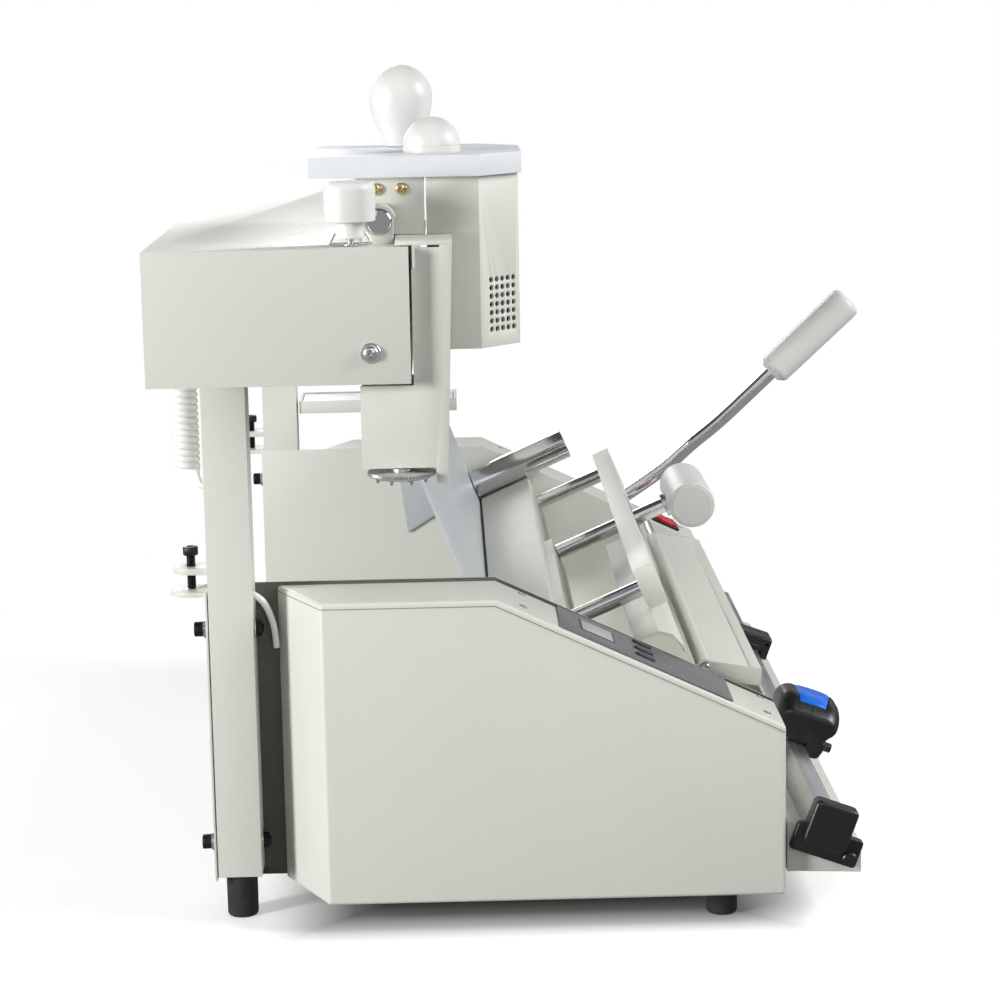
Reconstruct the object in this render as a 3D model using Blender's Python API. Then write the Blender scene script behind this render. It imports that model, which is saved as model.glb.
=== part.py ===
"""Desktop glue binding machine (perfect binder) for A4 book blocks, as separate named pieces.

Frame: +X runs along the machine to the operator's right, -Y is the operator's side, +Z is up.
The origin is on the table top, under the middle of the machine's bounding box.
Sizes below are in millimetres; add() turns them into Blender's metres.
The pieces are drawn about the middle of the clamp; one empty, machine_frame, shifts them all.
Three sets of pieces are built in tilted frames of their own, each hung on an empty:
the clamp (leans back), the cover table (slopes to the operator) and the housings' sloping tops.
"""

import math

import bmesh
import bpy
from mathutils import Vector

MM = 0.001
GAP = 0.3                   # clearance left between pieces that touch
SHEET = 1.6                 # sheet-metal thickness
MACHINE_SHIFT = (2.1, 61.651, 0.0)   # from the clamp's middle to the bounding box's middle

# ---- driving dimensions: side boxes -------------------------------------------------
HOUSING_OUTER_X = 280.0
HOUSING_INNER_X = 228.0
HOUSING_FRONT_Y = -170.0
HOUSING_BACK_Y = 89.0       # at the outer face; the back wall is chamfered
CHAMFER_BACK_Y = 116.0      # at the inner face
HOUSING_BOTTOM_Z = 17.0
HOUSING_TOP_Z = 192.0
SLOPE_TOP_Y = -9.0          # where the flat top turns into the slope
SLOPE_END_Z = 116.0
SLOPE_ANGLE = math.atan2(HOUSING_TOP_Z - SLOPE_END_Z, SLOPE_TOP_Y - HOUSING_FRONT_Y)
PLATE_X = 226.2             # inner face of each side plate
PLATE_BACK_Y = 155.0
PLATE_TOP_Z = 193.6

# ---- posts, beam and feet -----------------------------------------------------------
POST_SIDE = 25.0
POST_INNER_X = 228.0
POST_FRONT_Y = 128.2
POST_BOTTOM_Z = 26.0
LOWER_EAR_RADIUS = 12.0
UPPER_EAR_RADIUS = 10.0
LOWER_EAR_Z = (191.0, 193.6)
UPPER_EAR_Z = (203.4, 207.0)
BOLT_HEIGHTS = (44.0, 170.0)
BOLT_RADIUS = 2.5
BOLT_HOLE_RADIUS = 2.9
JACK_X = 240.5
JACK_Y = 163.0
FOOT_RADIUS = 9.0
BEAM_HALF_LENGTH = 348.0
BEAM_FRONT_Y = 34.5
BEAM_BACK_Y = 172.0
BEAM_BOTTOM_Z = 323.6
BEAM_TOP_Z = 394.0

# ---- carriage -----------------------------------------------------------------------
SHAFT_Y = 50.0
SHAFT_Z = 405.0
SHAFT_RADIUS = 7.0
SADDLE_BACK_REACH = 7.6     # kept short, so that the head bracket's flange passes it
BLOCK_X = (-300.0, -205.0)
CAP_Z = (427.3, 438.6)
EGG_AT = (-210.0, 38.5)
DOME_AT = (-268.0, 21.5)
DOME_RADIUS = 15.4
DOME_WELL_FLOOR = 433.6
DOME_STEM_RADIUS = 5.0
DOME_TRAVEL = 3.0
HEAD_X = (-340.0, -300.4)
CUTTER_AT = (-334.0, 40.7)
CUTTER_RADIUS = 18.2
KNOB_AT = (-332.0, 64.5)
CABLE_HOLE_RADIUS = 3.2
CABLE_IN_Z = 251.4          # where the cable enters the near post from behind
CABLE_OUT_Z = 189.4         # where it leaves the near post in front

# ---- clamp (tilted frame: x, forward, up) -------------------------------------------
CLAMP_TILT = math.radians(23.5)
CLAMP_ORIGIN = (0.0, -5.0, 156.0)
ROD_X = 190.0
ROD_UP = -17.0
ROD_RADIUS = 5.0
BAR_FORWARD = (91.0, 103.0)
T_HANDLE_FORWARD = 140.5
T_HANDLE_RADIUS = 14.8
JAW_LEDGE = 40.5
JAW_FRONT = 46.5
PRESS_HINGE = (107.0, -67.5)    # forward, up
PRESS_SHAFT_RADIUS = 2.6
PRESS_SLEEVE_RADIUS = 4.7

# ---- cover table (tilted frame: x, forward, up) -------------------------------------
TABLE_TILT = math.radians(20.0)
TABLE_ORIGIN = (0.0, -172.0, 58.0)
TABLE_HALF_LENGTH = 270.0
TABLE_DEPTH = 45.0
RAIL_FORWARD = (9.6, 20.8)
RAIL_TOP = 17.7
SADDLE_LOW = 20.2
GUIDE_X = (-155.0, -117.0)
LOCK_KNOB_UP = 17.2
FAR_STOP_X = (85.0, 110.0)

# ---- press lever --------------------------------------------------------------------
LEVER_PIVOT = (292.5, -95.0, 125.0)
LEVER_ROD_RADIUS = 5.1

FINISHES = {
    "body_paint": ((0.66, 0.66, 0.60, 1), 0.45, 0.0),
    "cap_paint": ((0.76, 0.79, 0.82, 1), 0.40, 0.0),
    "jaw_paint": ((0.58, 0.62, 0.66, 1), 0.35, 0.0),
    "white_plastic": ((0.83, 0.83, 0.81, 1), 0.30, 0.0),
    "black_plastic": ((0.015, 0.015, 0.017, 1), 0.35, 0.0),
    "blue_plastic": ((0.010, 0.160, 0.720, 1), 0.35, 0.0),
    "red_plastic": ((0.620, 0.012, 0.010, 1), 0.30, 0.0),
    "panel_film": ((0.33, 0.36, 0.42, 1), 0.45, 0.0),
    "chrome": ((0.55, 0.55, 0.56, 1), 0.12, 1.0),
    "steel": ((0.45, 0.46, 0.48, 1), 0.35, 1.0),
    "black_oxide": ((0.02, 0.02, 0.02, 1), 0.45, 0.6),
    "rubber": ((0.02, 0.02, 0.02, 1), 0.85, 0.0),
}


# ======================================================================================
# materials, frames and shape helpers
# ======================================================================================

def clear_scene():
    for obj in list(bpy.data.objects):
        bpy.data.objects.remove(obj, do_unlink=True)


def make_material(name):
    colour, roughness, metallic = FINISHES[name]
    material = bpy.data.materials.new(name)
    material.use_nodes = True
    shader = material.node_tree.nodes["Principled BSDF"]
    shader.inputs["Base Color"].default_value = colour
    shader.inputs["Roughness"].default_value = roughness
    shader.inputs["Metallic"].default_value = metallic
    return material


def make_frame(name, origin, tilt):
    """An empty at origin, turned about X; its -Y is 'forward' and its +Z is 'up'."""
    empty = bpy.data.objects.new(name, None)
    bpy.context.scene.collection.objects.link(empty)
    empty.location = Vector(origin) * MM
    empty.rotation_euler = (tilt, 0.0, 0.0)
    return empty


def to_mesh_data(mesh, name, origin):
    bmesh.ops.recalc_face_normals(mesh, faces=mesh.faces)
    bmesh.ops.translate(mesh, vec=-Vector(origin), verts=mesh.verts)
    bmesh.ops.scale(mesh, vec=Vector((MM, MM, MM)), verts=mesh.verts)
    data = bpy.data.meshes.new(name)
    mesh.to_mesh(data)
    mesh.free()
    return data


def add(name, mesh, finish, origin=(0, 0, 0), parent=None):
    """Make one named piece from a mesh drawn in its frame's millimetres."""
    data = to_mesh_data(mesh, name, origin)
    material = bpy.data.materials.get(finish) or make_material(finish)
    data.materials.append(material)
    data.shade_smooth()
    data.set_sharp_from_angle(angle=math.radians(32))
    obj = bpy.data.objects.new(name, data)
    bpy.context.scene.collection.objects.link(obj)
    obj.location = Vector(origin) * MM
    obj.parent = parent
    return obj


def combine(obj, mesh, operation, parent=None):
    """Cut a mesh from obj, or join it on, with an exact Boolean and a hidden helper."""
    helper = bpy.data.objects.new(obj.name + "_helper", to_mesh_data(mesh, "helper", (0, 0, 0)))
    bpy.context.scene.collection.objects.link(helper)
    helper.parent = parent
    helper.hide_render = True
    helper.display_type = "WIRE"
    modifier = obj.modifiers.new(operation.lower(), "BOOLEAN")
    modifier.operation = operation
    modifier.solver = "EXACT"
    modifier.object = helper


def cut(obj, mesh, parent=None):
    combine(obj, mesh, "DIFFERENCE", parent)


def fuse(obj, mesh, parent=None):
    combine(obj, mesh, "UNION", parent)


def loft(outline_a, level_a, outline_b, level_b, axis):
    """Close two outlines of equal length, at two levels along an axis, into a solid."""
    def place(point, level):
        a, b = point
        return {"X": (level, a, b), "Y": (a, level, b), "Z": (a, b, level)}[axis]

    mesh = bmesh.new()
    ring_a = [mesh.verts.new(place(point, level_a)) for point in outline_a]
    ring_b = [mesh.verts.new(place(point, level_b)) for point in outline_b]
    count = len(ring_a)
    for i in range(count):
        j = (i + 1) % count
        mesh.faces.new((ring_a[i], ring_a[j], ring_b[j], ring_b[i]))
    mesh.faces.new(ring_a)
    mesh.faces.new(ring_b)
    return mesh


def prism(outline, axis, low, high):
    return loft(outline, low, outline, high, axis)


def block(x, y, z):
    return prism([(x[0], y[0]), (x[1], y[0]), (x[1], y[1]), (x[0], y[1])], "Z", z[0], z[1])


def forward_block(x, forward, up):
    """A block in a tilted frame, where forward is -Y."""
    return block(x, (-forward[1], -forward[0]), up)


def forward_prism(outline, low_x, high_x):
    """An outline of (forward, up) points in a tilted frame, drawn out along X."""
    return prism([(-forward, up) for forward, up in outline], "X", low_x, high_x)


def circle(centre, radius, steps=24):
    angles = [2 * math.pi * i / steps for i in range(steps)]
    return [(centre[0] + radius * math.cos(a), centre[1] + radius * math.sin(a)) for a in angles]


def rod(centre, radius, axis, low, high, steps=24):
    return prism(circle(centre, radius, steps), axis, low, high)


def arc(centre, radius, first, last, steps):
    """Points of an arc between two angles in degrees."""
    angles = [math.radians(first + (last - first) * i / steps) for i in range(steps + 1)]
    return [(centre[0] + radius * math.cos(a), centre[1] + radius * math.sin(a)) for a in angles]


def slot_outline(centre, length, width, steps=6):
    """A long hole or button with round ends, its long side along the second axis."""
    half = (length - width) / 2
    upper = arc((centre[0], centre[1] + half), width / 2, 0, 180, steps)
    lower = arc((centre[0], centre[1] - half), width / 2, 180, 360, steps)
    return upper + lower


def inset(outline, distance):
    """Move every side of a convex, counter-clockwise outline inwards by a distance."""
    result = []
    count = len(outline)
    for i in range(count):
        before, here, after = (Vector(outline[(i + k) % count]) for k in (-1, 0, 1))
        first = (here - before).normalized()
        second = (after - here).normalized()
        normal_a = Vector((-first.y, first.x))
        normal_b = Vector((-second.y, second.x))
        corner = normal_a + normal_b
        result.append(tuple(here + corner * (distance / (corner.dot(normal_a)))))
    return result


def lathe(profile, centre, steps=32):
    """Turn (radius, height) points, the first and last on the axis, about a vertical axis."""
    mesh = bmesh.new()
    rings = []
    for radius, height in profile:
        if radius == 0:
            rings.append([mesh.verts.new((*centre, height))])
        else:
            rings.append([mesh.verts.new((*point, height)) for point in circle(centre, radius, steps)])
    for lower, upper in zip(rings, rings[1:]):
        for i in range(steps):
            j = (i + 1) % steps
            if len(lower) == 1:
                mesh.faces.new((lower[0], upper[j], upper[i]))
            elif len(upper) == 1:
                mesh.faces.new((lower[i], lower[j], upper[0]))
            else:
                mesh.faces.new((lower[i], lower[j], upper[j], upper[i]))
    return mesh


def sweep(path, radii, sides=12):
    """A round bar along a path of 3D points, with a radius at each point."""
    points = [Vector(point) for point in path]
    mesh = bmesh.new()
    rings = []
    normal = None
    for i, point in enumerate(points):
        ahead = points[min(i + 1, len(points) - 1)] - points[max(i - 1, 0)]
        ahead.normalize()
        if normal is None:
            normal = ahead.orthogonal().normalized()
        normal = (normal - ahead * normal.dot(ahead)).normalized()
        side = ahead.cross(normal)
        ring = []
        for step in range(sides):
            angle = 2 * math.pi * step / sides
            offset = normal * math.cos(angle) + side * math.sin(angle)
            ring.append(mesh.verts.new(point + offset * radii[i]))
        rings.append(ring)
    for lower, upper in zip(rings, rings[1:]):
        for i in range(sides):
            j = (i + 1) % sides
            mesh.faces.new((lower[i], lower[j], upper[j], upper[i]))
    mesh.faces.new(rings[0])
    mesh.faces.new(rings[-1])
    return mesh


def span(side, near, far):
    """The x range between two distances from the middle, on the near (-1) or far (+1) side."""
    return tuple(sorted((side * near, side * far)))


# ======================================================================================
# base: pan, side plates, housings, feet
# ======================================================================================

HOUSING_OUTER = [
    (HOUSING_FRONT_Y, HOUSING_BOTTOM_Z),
    (HOUSING_BACK_Y, HOUSING_BOTTOM_Z),
    (HOUSING_BACK_Y, HOUSING_TOP_Z),
    (SLOPE_TOP_Y, HOUSING_TOP_Z),
    (HOUSING_FRONT_Y, SLOPE_END_Z),
]
HOUSING_INNER = [(CHAMFER_BACK_Y, z) if y == HOUSING_BACK_Y else (y, z) for y, z in HOUSING_OUTER]


def build_base_pan():
    """The floor of the machine, with a front wall behind the cover table."""
    profile = [
        (114, 19), (-168.6, 19), (-168.6, 112), (-167, 112), (-167, 19 + SHEET), (112.4, 19 + SHEET),
        (112.4, 60), (114, 60),
    ]
    add("base_pan", prism(profile, "X", -PLATE_X + GAP, PLATE_X - GAP), "body_paint")


def build_side_plate(name, side):
    """A flat inner wall whose back edge is folded outwards behind the post, with an ear."""
    outline = [
        (HOUSING_FRONT_Y + 1, 19), (PLATE_BACK_Y, 19), (PLATE_BACK_Y, PLATE_TOP_Z),
        (SLOPE_TOP_Y, PLATE_TOP_Z), (HOUSING_FRONT_Y + 1, SLOPE_END_Z + 1.6),
    ]
    x = span(side, PLATE_X, PLATE_X + 1.5)
    plate = add(name, prism(outline, "X", *x), "body_paint")
    fuse(plate, block(span(side, PLATE_X, 253.5), (153.7, PLATE_BACK_Y), (24, PLATE_TOP_Z)))
    fuse(plate, ear_mesh(side, 154.2, LOWER_EAR_RADIUS, LOWER_EAR_Z))


def ear_mesh(side, root_y, radius, z):
    """A horizontal tab with a round end, for a jack screw."""
    centre = (side * JACK_X, JACK_Y)
    outline = arc(centre, radius, 0, 180, 10)
    outline += [(centre[0] - radius, root_y), (centre[0] + radius, root_y)]
    return prism(outline, "Z", *z)


def build_housing(name, side):
    """A sheet-metal box, open towards the machine, with a sloping top and a chamfered back."""
    outer_x = side * HOUSING_OUTER_X
    inner_x = side * HOUSING_INNER_X
    shell = add(name, loft(HOUSING_OUTER, outer_x, HOUSING_INNER, inner_x, "X"), "body_paint")
    hollow_outer = inset(HOUSING_OUTER, SHEET)
    hollow_inner = inset(HOUSING_INNER, SHEET)
    growth = (hollow_inner[1][0] - hollow_outer[1][0]) / (HOUSING_OUTER_X - HOUSING_INNER_X)
    extra = 3.0
    beyond = [(y + growth * extra if y > 0 else y, z) for y, z in hollow_inner]
    cut(shell, loft(hollow_outer, outer_x - side * SHEET, beyond, inner_x - side * extra, "X"))


def build_foot(name, x, y, top_z):
    profile = [(0, 0), (FOOT_RADIUS - 1, 0), (FOOT_RADIUS, 1.2), (FOOT_RADIUS, top_z), (0, top_z)]
    add(name, lathe(profile, (x, y), 24), "rubber", origin=(x, y, 0))


def build_base():
    build_base_pan()
    for name, side in (("near", -1), ("far", 1)):
        build_side_plate(name + "_side_plate", side)
        build_housing(name + "_housing", side)
        build_foot(f"{name}_rear_foot", side * 240.5, 140.7, POST_BOTTOM_Z - GAP)
        build_foot(f"{name}_front_foot", side * 256, -136, HOUSING_BOTTOM_Z - GAP)


# ======================================================================================
# gantry: posts, jack screws, bolts, beam, cable
# ======================================================================================

def build_post(name, side):
    """A square tube with a welded ear near its foot end."""
    x = span(side, POST_INNER_X, POST_INNER_X + POST_SIDE)
    y = (POST_FRONT_Y, POST_FRONT_Y + POST_SIDE)
    top = BEAM_TOP_Z - SHEET - GAP
    post = add(name, block(x, y, (POST_BOTTOM_Z, top)), "body_paint")
    wall = 2.0
    inner_x = (x[0] + wall, x[1] - wall)
    cut(post, block(inner_x, (y[0] + wall, y[1] - wall), (POST_BOTTOM_Z - 1, top + 1)))
    fuse(post, ear_mesh(side, y[1] - 1, UPPER_EAR_RADIUS, UPPER_EAR_Z))
    cut(post, rod((side * JACK_X, JACK_Y), BOLT_HOLE_RADIUS, "Z", 200, 215, 16))
    for z in BOLT_HEIGHTS:
        cut(post, rod((side * JACK_X, z), BOLT_HOLE_RADIUS, "Y", y[0] - 2, y[1] + 2, 16))
    if side < 0:
        cut(post, rod((-JACK_X, CABLE_IN_Z), CABLE_HOLE_RADIUS, "Y", y[1] - 4, y[1] + 2, 16))
        cut(post, rod((-JACK_X, CABLE_OUT_Z), CABLE_HOLE_RADIUS, "Y", y[0] - 2, y[0] + 4, 16))


def build_jack_screw(name, side):
    """An M5 cap screw through the upper ear; its tip stands on the lower ear."""
    tip = LOWER_EAR_Z[1] + GAP
    profile = [
        (0, tip), (BOLT_RADIUS, tip), (BOLT_RADIUS, 213.3), (4.25, 213.3), (4.25, 218.2), (2.2, 218.2),
        (2.2, 215.5), (0, 215.5),
    ]
    add(name, lathe(profile, (side * JACK_X, JACK_Y), 16), "black_oxide", origin=(side * JACK_X, JACK_Y, 0))


def build_post_bolt(name, side, z):
    """An M5 cap screw through the side plate's flange and the post, with its nut in front."""
    centre = (side * JACK_X, z)
    bolt = add(name, rod(centre, BOLT_RADIUS, "Y", 123.0, 157, 16), "black_oxide")
    fuse(bolt, rod(centre, 5.0, "Y", PLATE_BACK_Y + GAP, 157.6, 16))
    fuse(bolt, rod(centre, 4.25, "Y", 157.4, 162.6, 16))
    fuse(bolt, rod(centre, 4.6, "Y", 124.2, POST_FRONT_Y - GAP, 6))


def build_side_plate_holes():
    for name, side in (("near", -1), ("far", 1)):
        plate = bpy.data.objects[name + "_side_plate"]
        for z in BOLT_HEIGHTS:
            cut(plate, rod((side * JACK_X, z), BOLT_HOLE_RADIUS, "Y", 150, 158, 16))


def build_beam():
    """A folded sheet beam, open below and behind; the back cover closes the back."""
    ends = (-BEAM_HALF_LENGTH, BEAM_HALF_LENGTH)
    beam = add("top_beam", block(ends, (BEAM_FRONT_Y, BEAM_BACK_Y), (BEAM_BOTTOM_Z, BEAM_TOP_Z)),
               "body_paint")
    inner = (ends[0] + SHEET, ends[1] - SHEET)
    hollow_z = (BEAM_BOTTOM_Z - 2, BEAM_TOP_Z - SHEET)
    cut(beam, block(inner, (BEAM_FRONT_Y + SHEET, BEAM_BACK_Y + 2), hollow_z))
    back = block((inner[0] + GAP, inner[1] - GAP), (BEAM_BACK_Y - SHEET, BEAM_BACK_Y),
                 (BEAM_BOTTOM_Z, hollow_z[1] - GAP))
    add("beam_back_cover", back, "body_paint")
    weld_shaft_saddle(beam, (-316.0, -303.5))
    weld_shaft_saddle(beam, (322.0, 334.5))


def weld_shaft_saddle(beam, x):
    """A saddle welded on the beam's top, with the guide shaft through it."""
    half_width = SHAFT_RADIUS + 2.1
    outline = arc((SHAFT_Y, SHAFT_Z), half_width, 0, 180, 12)
    outline += [(SHAFT_Y - SADDLE_BACK_REACH, BEAM_TOP_Z - 1), (SHAFT_Y + half_width, BEAM_TOP_Z - 1)]
    outline[12] = (SHAFT_Y - SADDLE_BACK_REACH, outline[11][1])
    fuse(beam, prism(outline, "X", *x))
    cut(beam, rod((SHAFT_Y, SHAFT_Z), SHAFT_RADIUS + 0.1, "X", x[0] - 1, x[1] + 1, 32))


def build_beam_knob():
    """A white plastic lock knob on a stud, with a bent wire stand under it."""
    x, y = KNOB_AT
    stud = [(0, 394.3), (4.5, 394.3), (4.5, 395.4), (1.8, 395.4), (1.8, 397.9), (0, 397.9)]
    stand = add("knob_stand", lathe(stud, KNOB_AT, 20), "steel")
    for reach in (-1, 1):
        wire = [(x, y + reach * 1.0, 395.0), (x, y + reach * 10.5, 395.4), (x, y + reach * 7.9, 401.0)]
        fuse(stand, sweep(wire, [0.8] * 3, 8))
    knob = [
        (0, 398.2), (6.4, 398.2), (6.9, 398.8), (6.9, 407.0), (12.9, 407.0), (13.6, 407.8),
        (13.6, 424.0), (12.9, 426.4), (11.2, 427.4), (0, 427.4),
    ]
    add("beam_knob", lathe(knob, KNOB_AT, 32), "white_plastic", origin=(x, y, 398))


def build_cable():
    """The coiled lead between beam and housing, as its plain outer envelope."""
    coil = 7.6
    lead = 2.0
    x, back_y, middle_y = -JACK_X, JACK_Y, POST_FRONT_Y + POST_SIDE / 2
    stations = [
        ((x, back_y, 330.0), lead), ((x, back_y, 326.5), lead), ((x, back_y, 325.2), coil),
        ((x, back_y, 262.5), coil), ((x, back_y, 261.0), lead), ((x, 161.5, 255.5), lead),
        ((x, 157.5, 252.3), lead), ((x, 150.0, 250.6), lead), ((x, 143.5, 247.0), lead),
        ((x, middle_y, 239.0), lead), ((x, middle_y, 205.0), lead), ((x, 138.5, 196.5), lead),
        ((x, 134.0, 191.5), lead), ((x, 127.0, 188.6), lead), ((x + 0.5, 122.5, 184.5), lead),
        ((x + 2.5, 119.5, 177.0), lead), ((x + 4.5, 117.5, 168.0), lead), ((x + 6.0, 116.6, 157.0), lead),
    ]
    add("spiral_cable", sweep([s[0] for s in stations], [s[1] for s in stations], 12), "white_plastic")


def build_gantry():
    for name, side in (("near", -1), ("far", 1)):
        build_post(name + "_post", side)
        build_jack_screw(name + "_jack_screw", side)
        for label, z in zip(("lower", "upper"), BOLT_HEIGHTS):
            build_post_bolt(f"{name}_{label}_bolt", side, z)
    build_side_plate_holes()
    build_beam()
    add("guide_shaft", rod((SHAFT_Y, SHAFT_Z), SHAFT_RADIUS, "X", -316.5, 335, 32), "chrome")
    build_beam_knob()
    build_cable()
    build_glue_tray()


def build_glue_tray():
    """The shallow glue tray that stands past the far end of the clamp."""
    x, y, z = (231, 277), (9, 126), (220.2, 229.4)
    wall, depth = 2.0, 2.4
    tray = add("glue_tray", block(x, y, z), "body_paint")
    inside_y = (y[0] + wall, y[1] - wall)
    cut(tray, block((x[0] + wall, x[1] - wall), inside_y, (z[1] - depth, z[1] + 1)))
    for leg_y in ((20, 32), (62, 74)):
        fuse(tray, block((236, 248), leg_y, (HOUSING_TOP_Z + GAP, z[0] + 1)))


# ======================================================================================
# carriage
# ======================================================================================

def build_carriage_block():
    """The bearing block on the guide shaft."""
    x = BLOCK_X
    y = (26.0, 62.0)
    z = (397.0, CAP_Z[0] - GAP)
    block_piece = add("carriage_block", block(x, y, z), "body_paint", origin=(x[0], SHAFT_Y, SHAFT_Z))
    cut(block_piece, rod((SHAFT_Y, SHAFT_Z), SHAFT_RADIUS + 0.08, "X", x[0] - 1, x[1] + 1, 32))
    cut(block_piece, block((x[0] + 12, x[1] + 1), (y[0] - 1, 41.0), (z[0] - 1, 424)))


def carriage_cover_outline():
    """Plan of the vented motor cover: square at the back, cut off at 45 degrees in front."""
    return [(-300, 25), (-300, -3), (-277, -24.5), (-221, -24.5), (-198, -3), (-198, 25)]


def build_carriage_cover():
    z = (335.0, CAP_Z[0] - GAP)
    outline = carriage_cover_outline()
    cover = add("carriage_cover", prism(outline, "Z", *z), "body_paint")
    cut(cover, prism(inset(outline, SHEET), "Z", z[0] + SHEET, z[1] + 2))
    start = Vector(outline[1])
    along = (Vector(outline[2]) - start).normalized()
    outward = Vector((-along.y, along.x)) * -1
    length = (Vector(outline[2]) - start).length
    columns, rows, pitch, first_z = 5, 7, 4.45, 344.5
    vents = bmesh.new()
    for column in range(columns):
        centre = start + along * (length / 2 + 1.9 + (column - (columns - 1) / 2) * pitch)
        for row in range(rows):
            height = first_z + row * pitch
            add_vent(vents, centre, outward, along, height)
    cut(cover, vents)


def add_vent(vents, centre, outward, along, height):
    """One round hole's cutter through the slanted face."""
    radius, sides, depth = 1.6, 8, 4.0
    rings = []
    for reach in (-depth, depth):
        ring = []
        for step in range(sides):
            angle = 2 * math.pi * step / sides
            flat = centre + outward * reach + along * (radius * math.cos(angle))
            ring.append(vents.verts.new((flat.x, flat.y, height + radius * math.sin(angle))))
        rings.append(ring)
    for i in range(sides):
        j = (i + 1) % sides
        vents.faces.new((rings[0][i], rings[0][j], rings[1][j], rings[1][i]))
    vents.faces.new(rings[0])
    vents.faces.new(rings[1])


def build_carriage_cap():
    outline = [(-305, 87), (-305, -4), (-280, -26.5), (-218, -26.5), (-193, -4), (-193, 87)]
    cap = add("carriage_cap", prism(outline, "Z", *CAP_Z), "cap_paint")
    cut(cap, rod(DOME_AT, DOME_RADIUS + 2 * GAP, "Z", DOME_WELL_FLOOR, CAP_Z[1] + 1, 28))
    cut(cap, rod(DOME_AT, DOME_STEM_RADIUS + GAP, "Z", CAP_Z[0] - 1, CAP_Z[1], 20))


def build_egg_handle():
    """An egg-shaped grip: a narrow neck that swells into a round head."""
    base = CAP_Z[1] + GAP
    height, widest = 45.0, 17.6
    profile = [(0, base), (9.0, base)]
    steps = 9
    neck_height = 27.0
    for i in range(1, steps + 1):
        t = i / steps
        swell = math.sin(t * math.pi / 2) ** 1.15
        profile.append((9.0 + (widest - 9.0) * swell, base + neck_height * t))
    crown = height - neck_height
    for i in range(1, 8):
        angle = math.pi / 2 * i / 8
        profile.append((widest * math.cos(angle), base + neck_height + crown * math.sin(angle)))
    profile.append((0, base + height))
    add("egg_handle", lathe(profile, EGG_AT, 28), "white_plastic", origin=(*EGG_AT, base))


def build_dome_button():
    """A push button: its skirt stands in the cap's well, with room below it to travel."""
    skirt_bottom = DOME_WELL_FLOOR + DOME_TRAVEL + 2 * GAP
    skirt_top = CAP_Z[1] + 3.7
    stem_bottom = CAP_Z[0] + DOME_TRAVEL + 2 * GAP
    crown = 15.0
    profile = [
        (0, stem_bottom), (DOME_STEM_RADIUS, stem_bottom), (DOME_STEM_RADIUS, skirt_bottom),
        (DOME_RADIUS, skirt_bottom), (DOME_RADIUS, skirt_top),
    ]
    for i in range(1, 9):
        angle = math.pi / 2 * i / 9
        profile.append((DOME_RADIUS * math.cos(angle), skirt_top + crown * math.sin(angle)))
    profile.append((0, skirt_top + crown))
    add("dome_button", lathe(profile, DOME_AT, 28), "white_plastic", origin=(*DOME_AT, skirt_bottom))


def build_head():
    """The bent plate that hangs in front of the beam, the cutter housing behind it, the disc."""
    near_x, end_x = HEAD_X
    flange = [(near_x, 11.8), (end_x, 11.8), (end_x, 26), (-205, 26), (-205, 41.5), (near_x, 41.5)]
    bracket = add("head_bracket", prism(flange, "Z", 394.6, 396.7), "body_paint")
    near_face = [
        (11.8, 396.7), (16.5, 269.3), (22.2, 269.3), (22.4, 277.9), (61.2, 277.9), (61.2, 321.6),
        (33.2, 321.6), (33.2, 382.4), (31.2, 382.4), (31.2, 393.4), (18.5, 393.4), (18.5, 396.7),
    ]
    fuse(bracket, prism(near_face, "X", near_x, near_x + 2.0))
    front_face = [(11.8, 396.7), (13.9, 396.7), (18.3, 271.5), (16.2, 271.5)]
    fuse(bracket, prism(front_face, "X", near_x + 1.5, end_x))
    housing = add("cutter_housing", block((-337.7, -296), (18.9, 60.5), (279, 321.4)), "body_paint")
    cut(housing, block((-336.1, -297.6), (20.5, 58.9), (280.6, 330)))
    x, y = CUTTER_AT
    disc = [
        (0, 270.8), (4, 270.8), (4, 272.0), (15, 272.2), (CUTTER_RADIUS, 273.9),
        (CUTTER_RADIUS, 275.6), (6, 276.4), (6, 277.4), (3.5, 277.4), (3.5, 278.7), (0, 278.7),
    ]
    add("cutter_disc", lathe(disc, CUTTER_AT, 36), "steel", origin=(x, y, 275))
    motor = [(0, 341), (17.5, 341), (17.5, 398), (14, 402), (14, 410), (0, 410)]
    add("carriage_motor", lathe(motor, (-249, 3), 24), "steel")


def build_carriage():
    build_carriage_block()
    build_carriage_cover()
    build_carriage_cap()
    build_egg_handle()
    build_dome_button()
    build_head()


# ======================================================================================
# book clamp (tilted frame)
# ======================================================================================

def build_clamp(frame):
    end = PLATE_X - GAP
    face = [(-3.4, -62), (-1.6, -62), (5.2, 102), (3.4, 102)]
    fixed = add("fixed_jaw", forward_prism(face, -end, end), "jaw_paint", parent=frame)
    gusset = [(-58.5, -3), (-36, 0.3), (0.2, 5), (2.5, 60), (-40, 62)]
    fuse(fixed, forward_prism(gusset, end - 3, end), parent=frame)
    build_movable_jaw(frame)
    for name, side in (("near", -1), ("far", 1)):
        rail = rod((side * ROD_X, ROD_UP), ROD_RADIUS, "Y", -BAR_FORWARD[1] + 0.5, -1.0)
        add(f"{name}_guide_rod", rail, "chrome", parent=frame)
    bar = add("clamp_bar", forward_block((-201, 201), BAR_FORWARD, (-28.5, -3.0)), "body_paint",
              parent=frame)
    for x, radius in ((-ROD_X, ROD_RADIUS), (0, ROD_RADIUS), (ROD_X, ROD_RADIUS)):
        hole = rod((x, ROD_UP), radius + GAP, "Y", -BAR_FORWARD[1] - 1, -BAR_FORWARD[0] + 1)
        cut(bar, hole, parent=frame)
    build_clamp_screw(frame)
    tube = add("side_stop_tube", rod((212, 11.5), 10.7, "Y", -76, -2.4, 32), "chrome", parent=frame)
    cut(tube, rod((212, 11.5), 9.2, "Y", -77, 1, 32), parent=frame)


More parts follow.
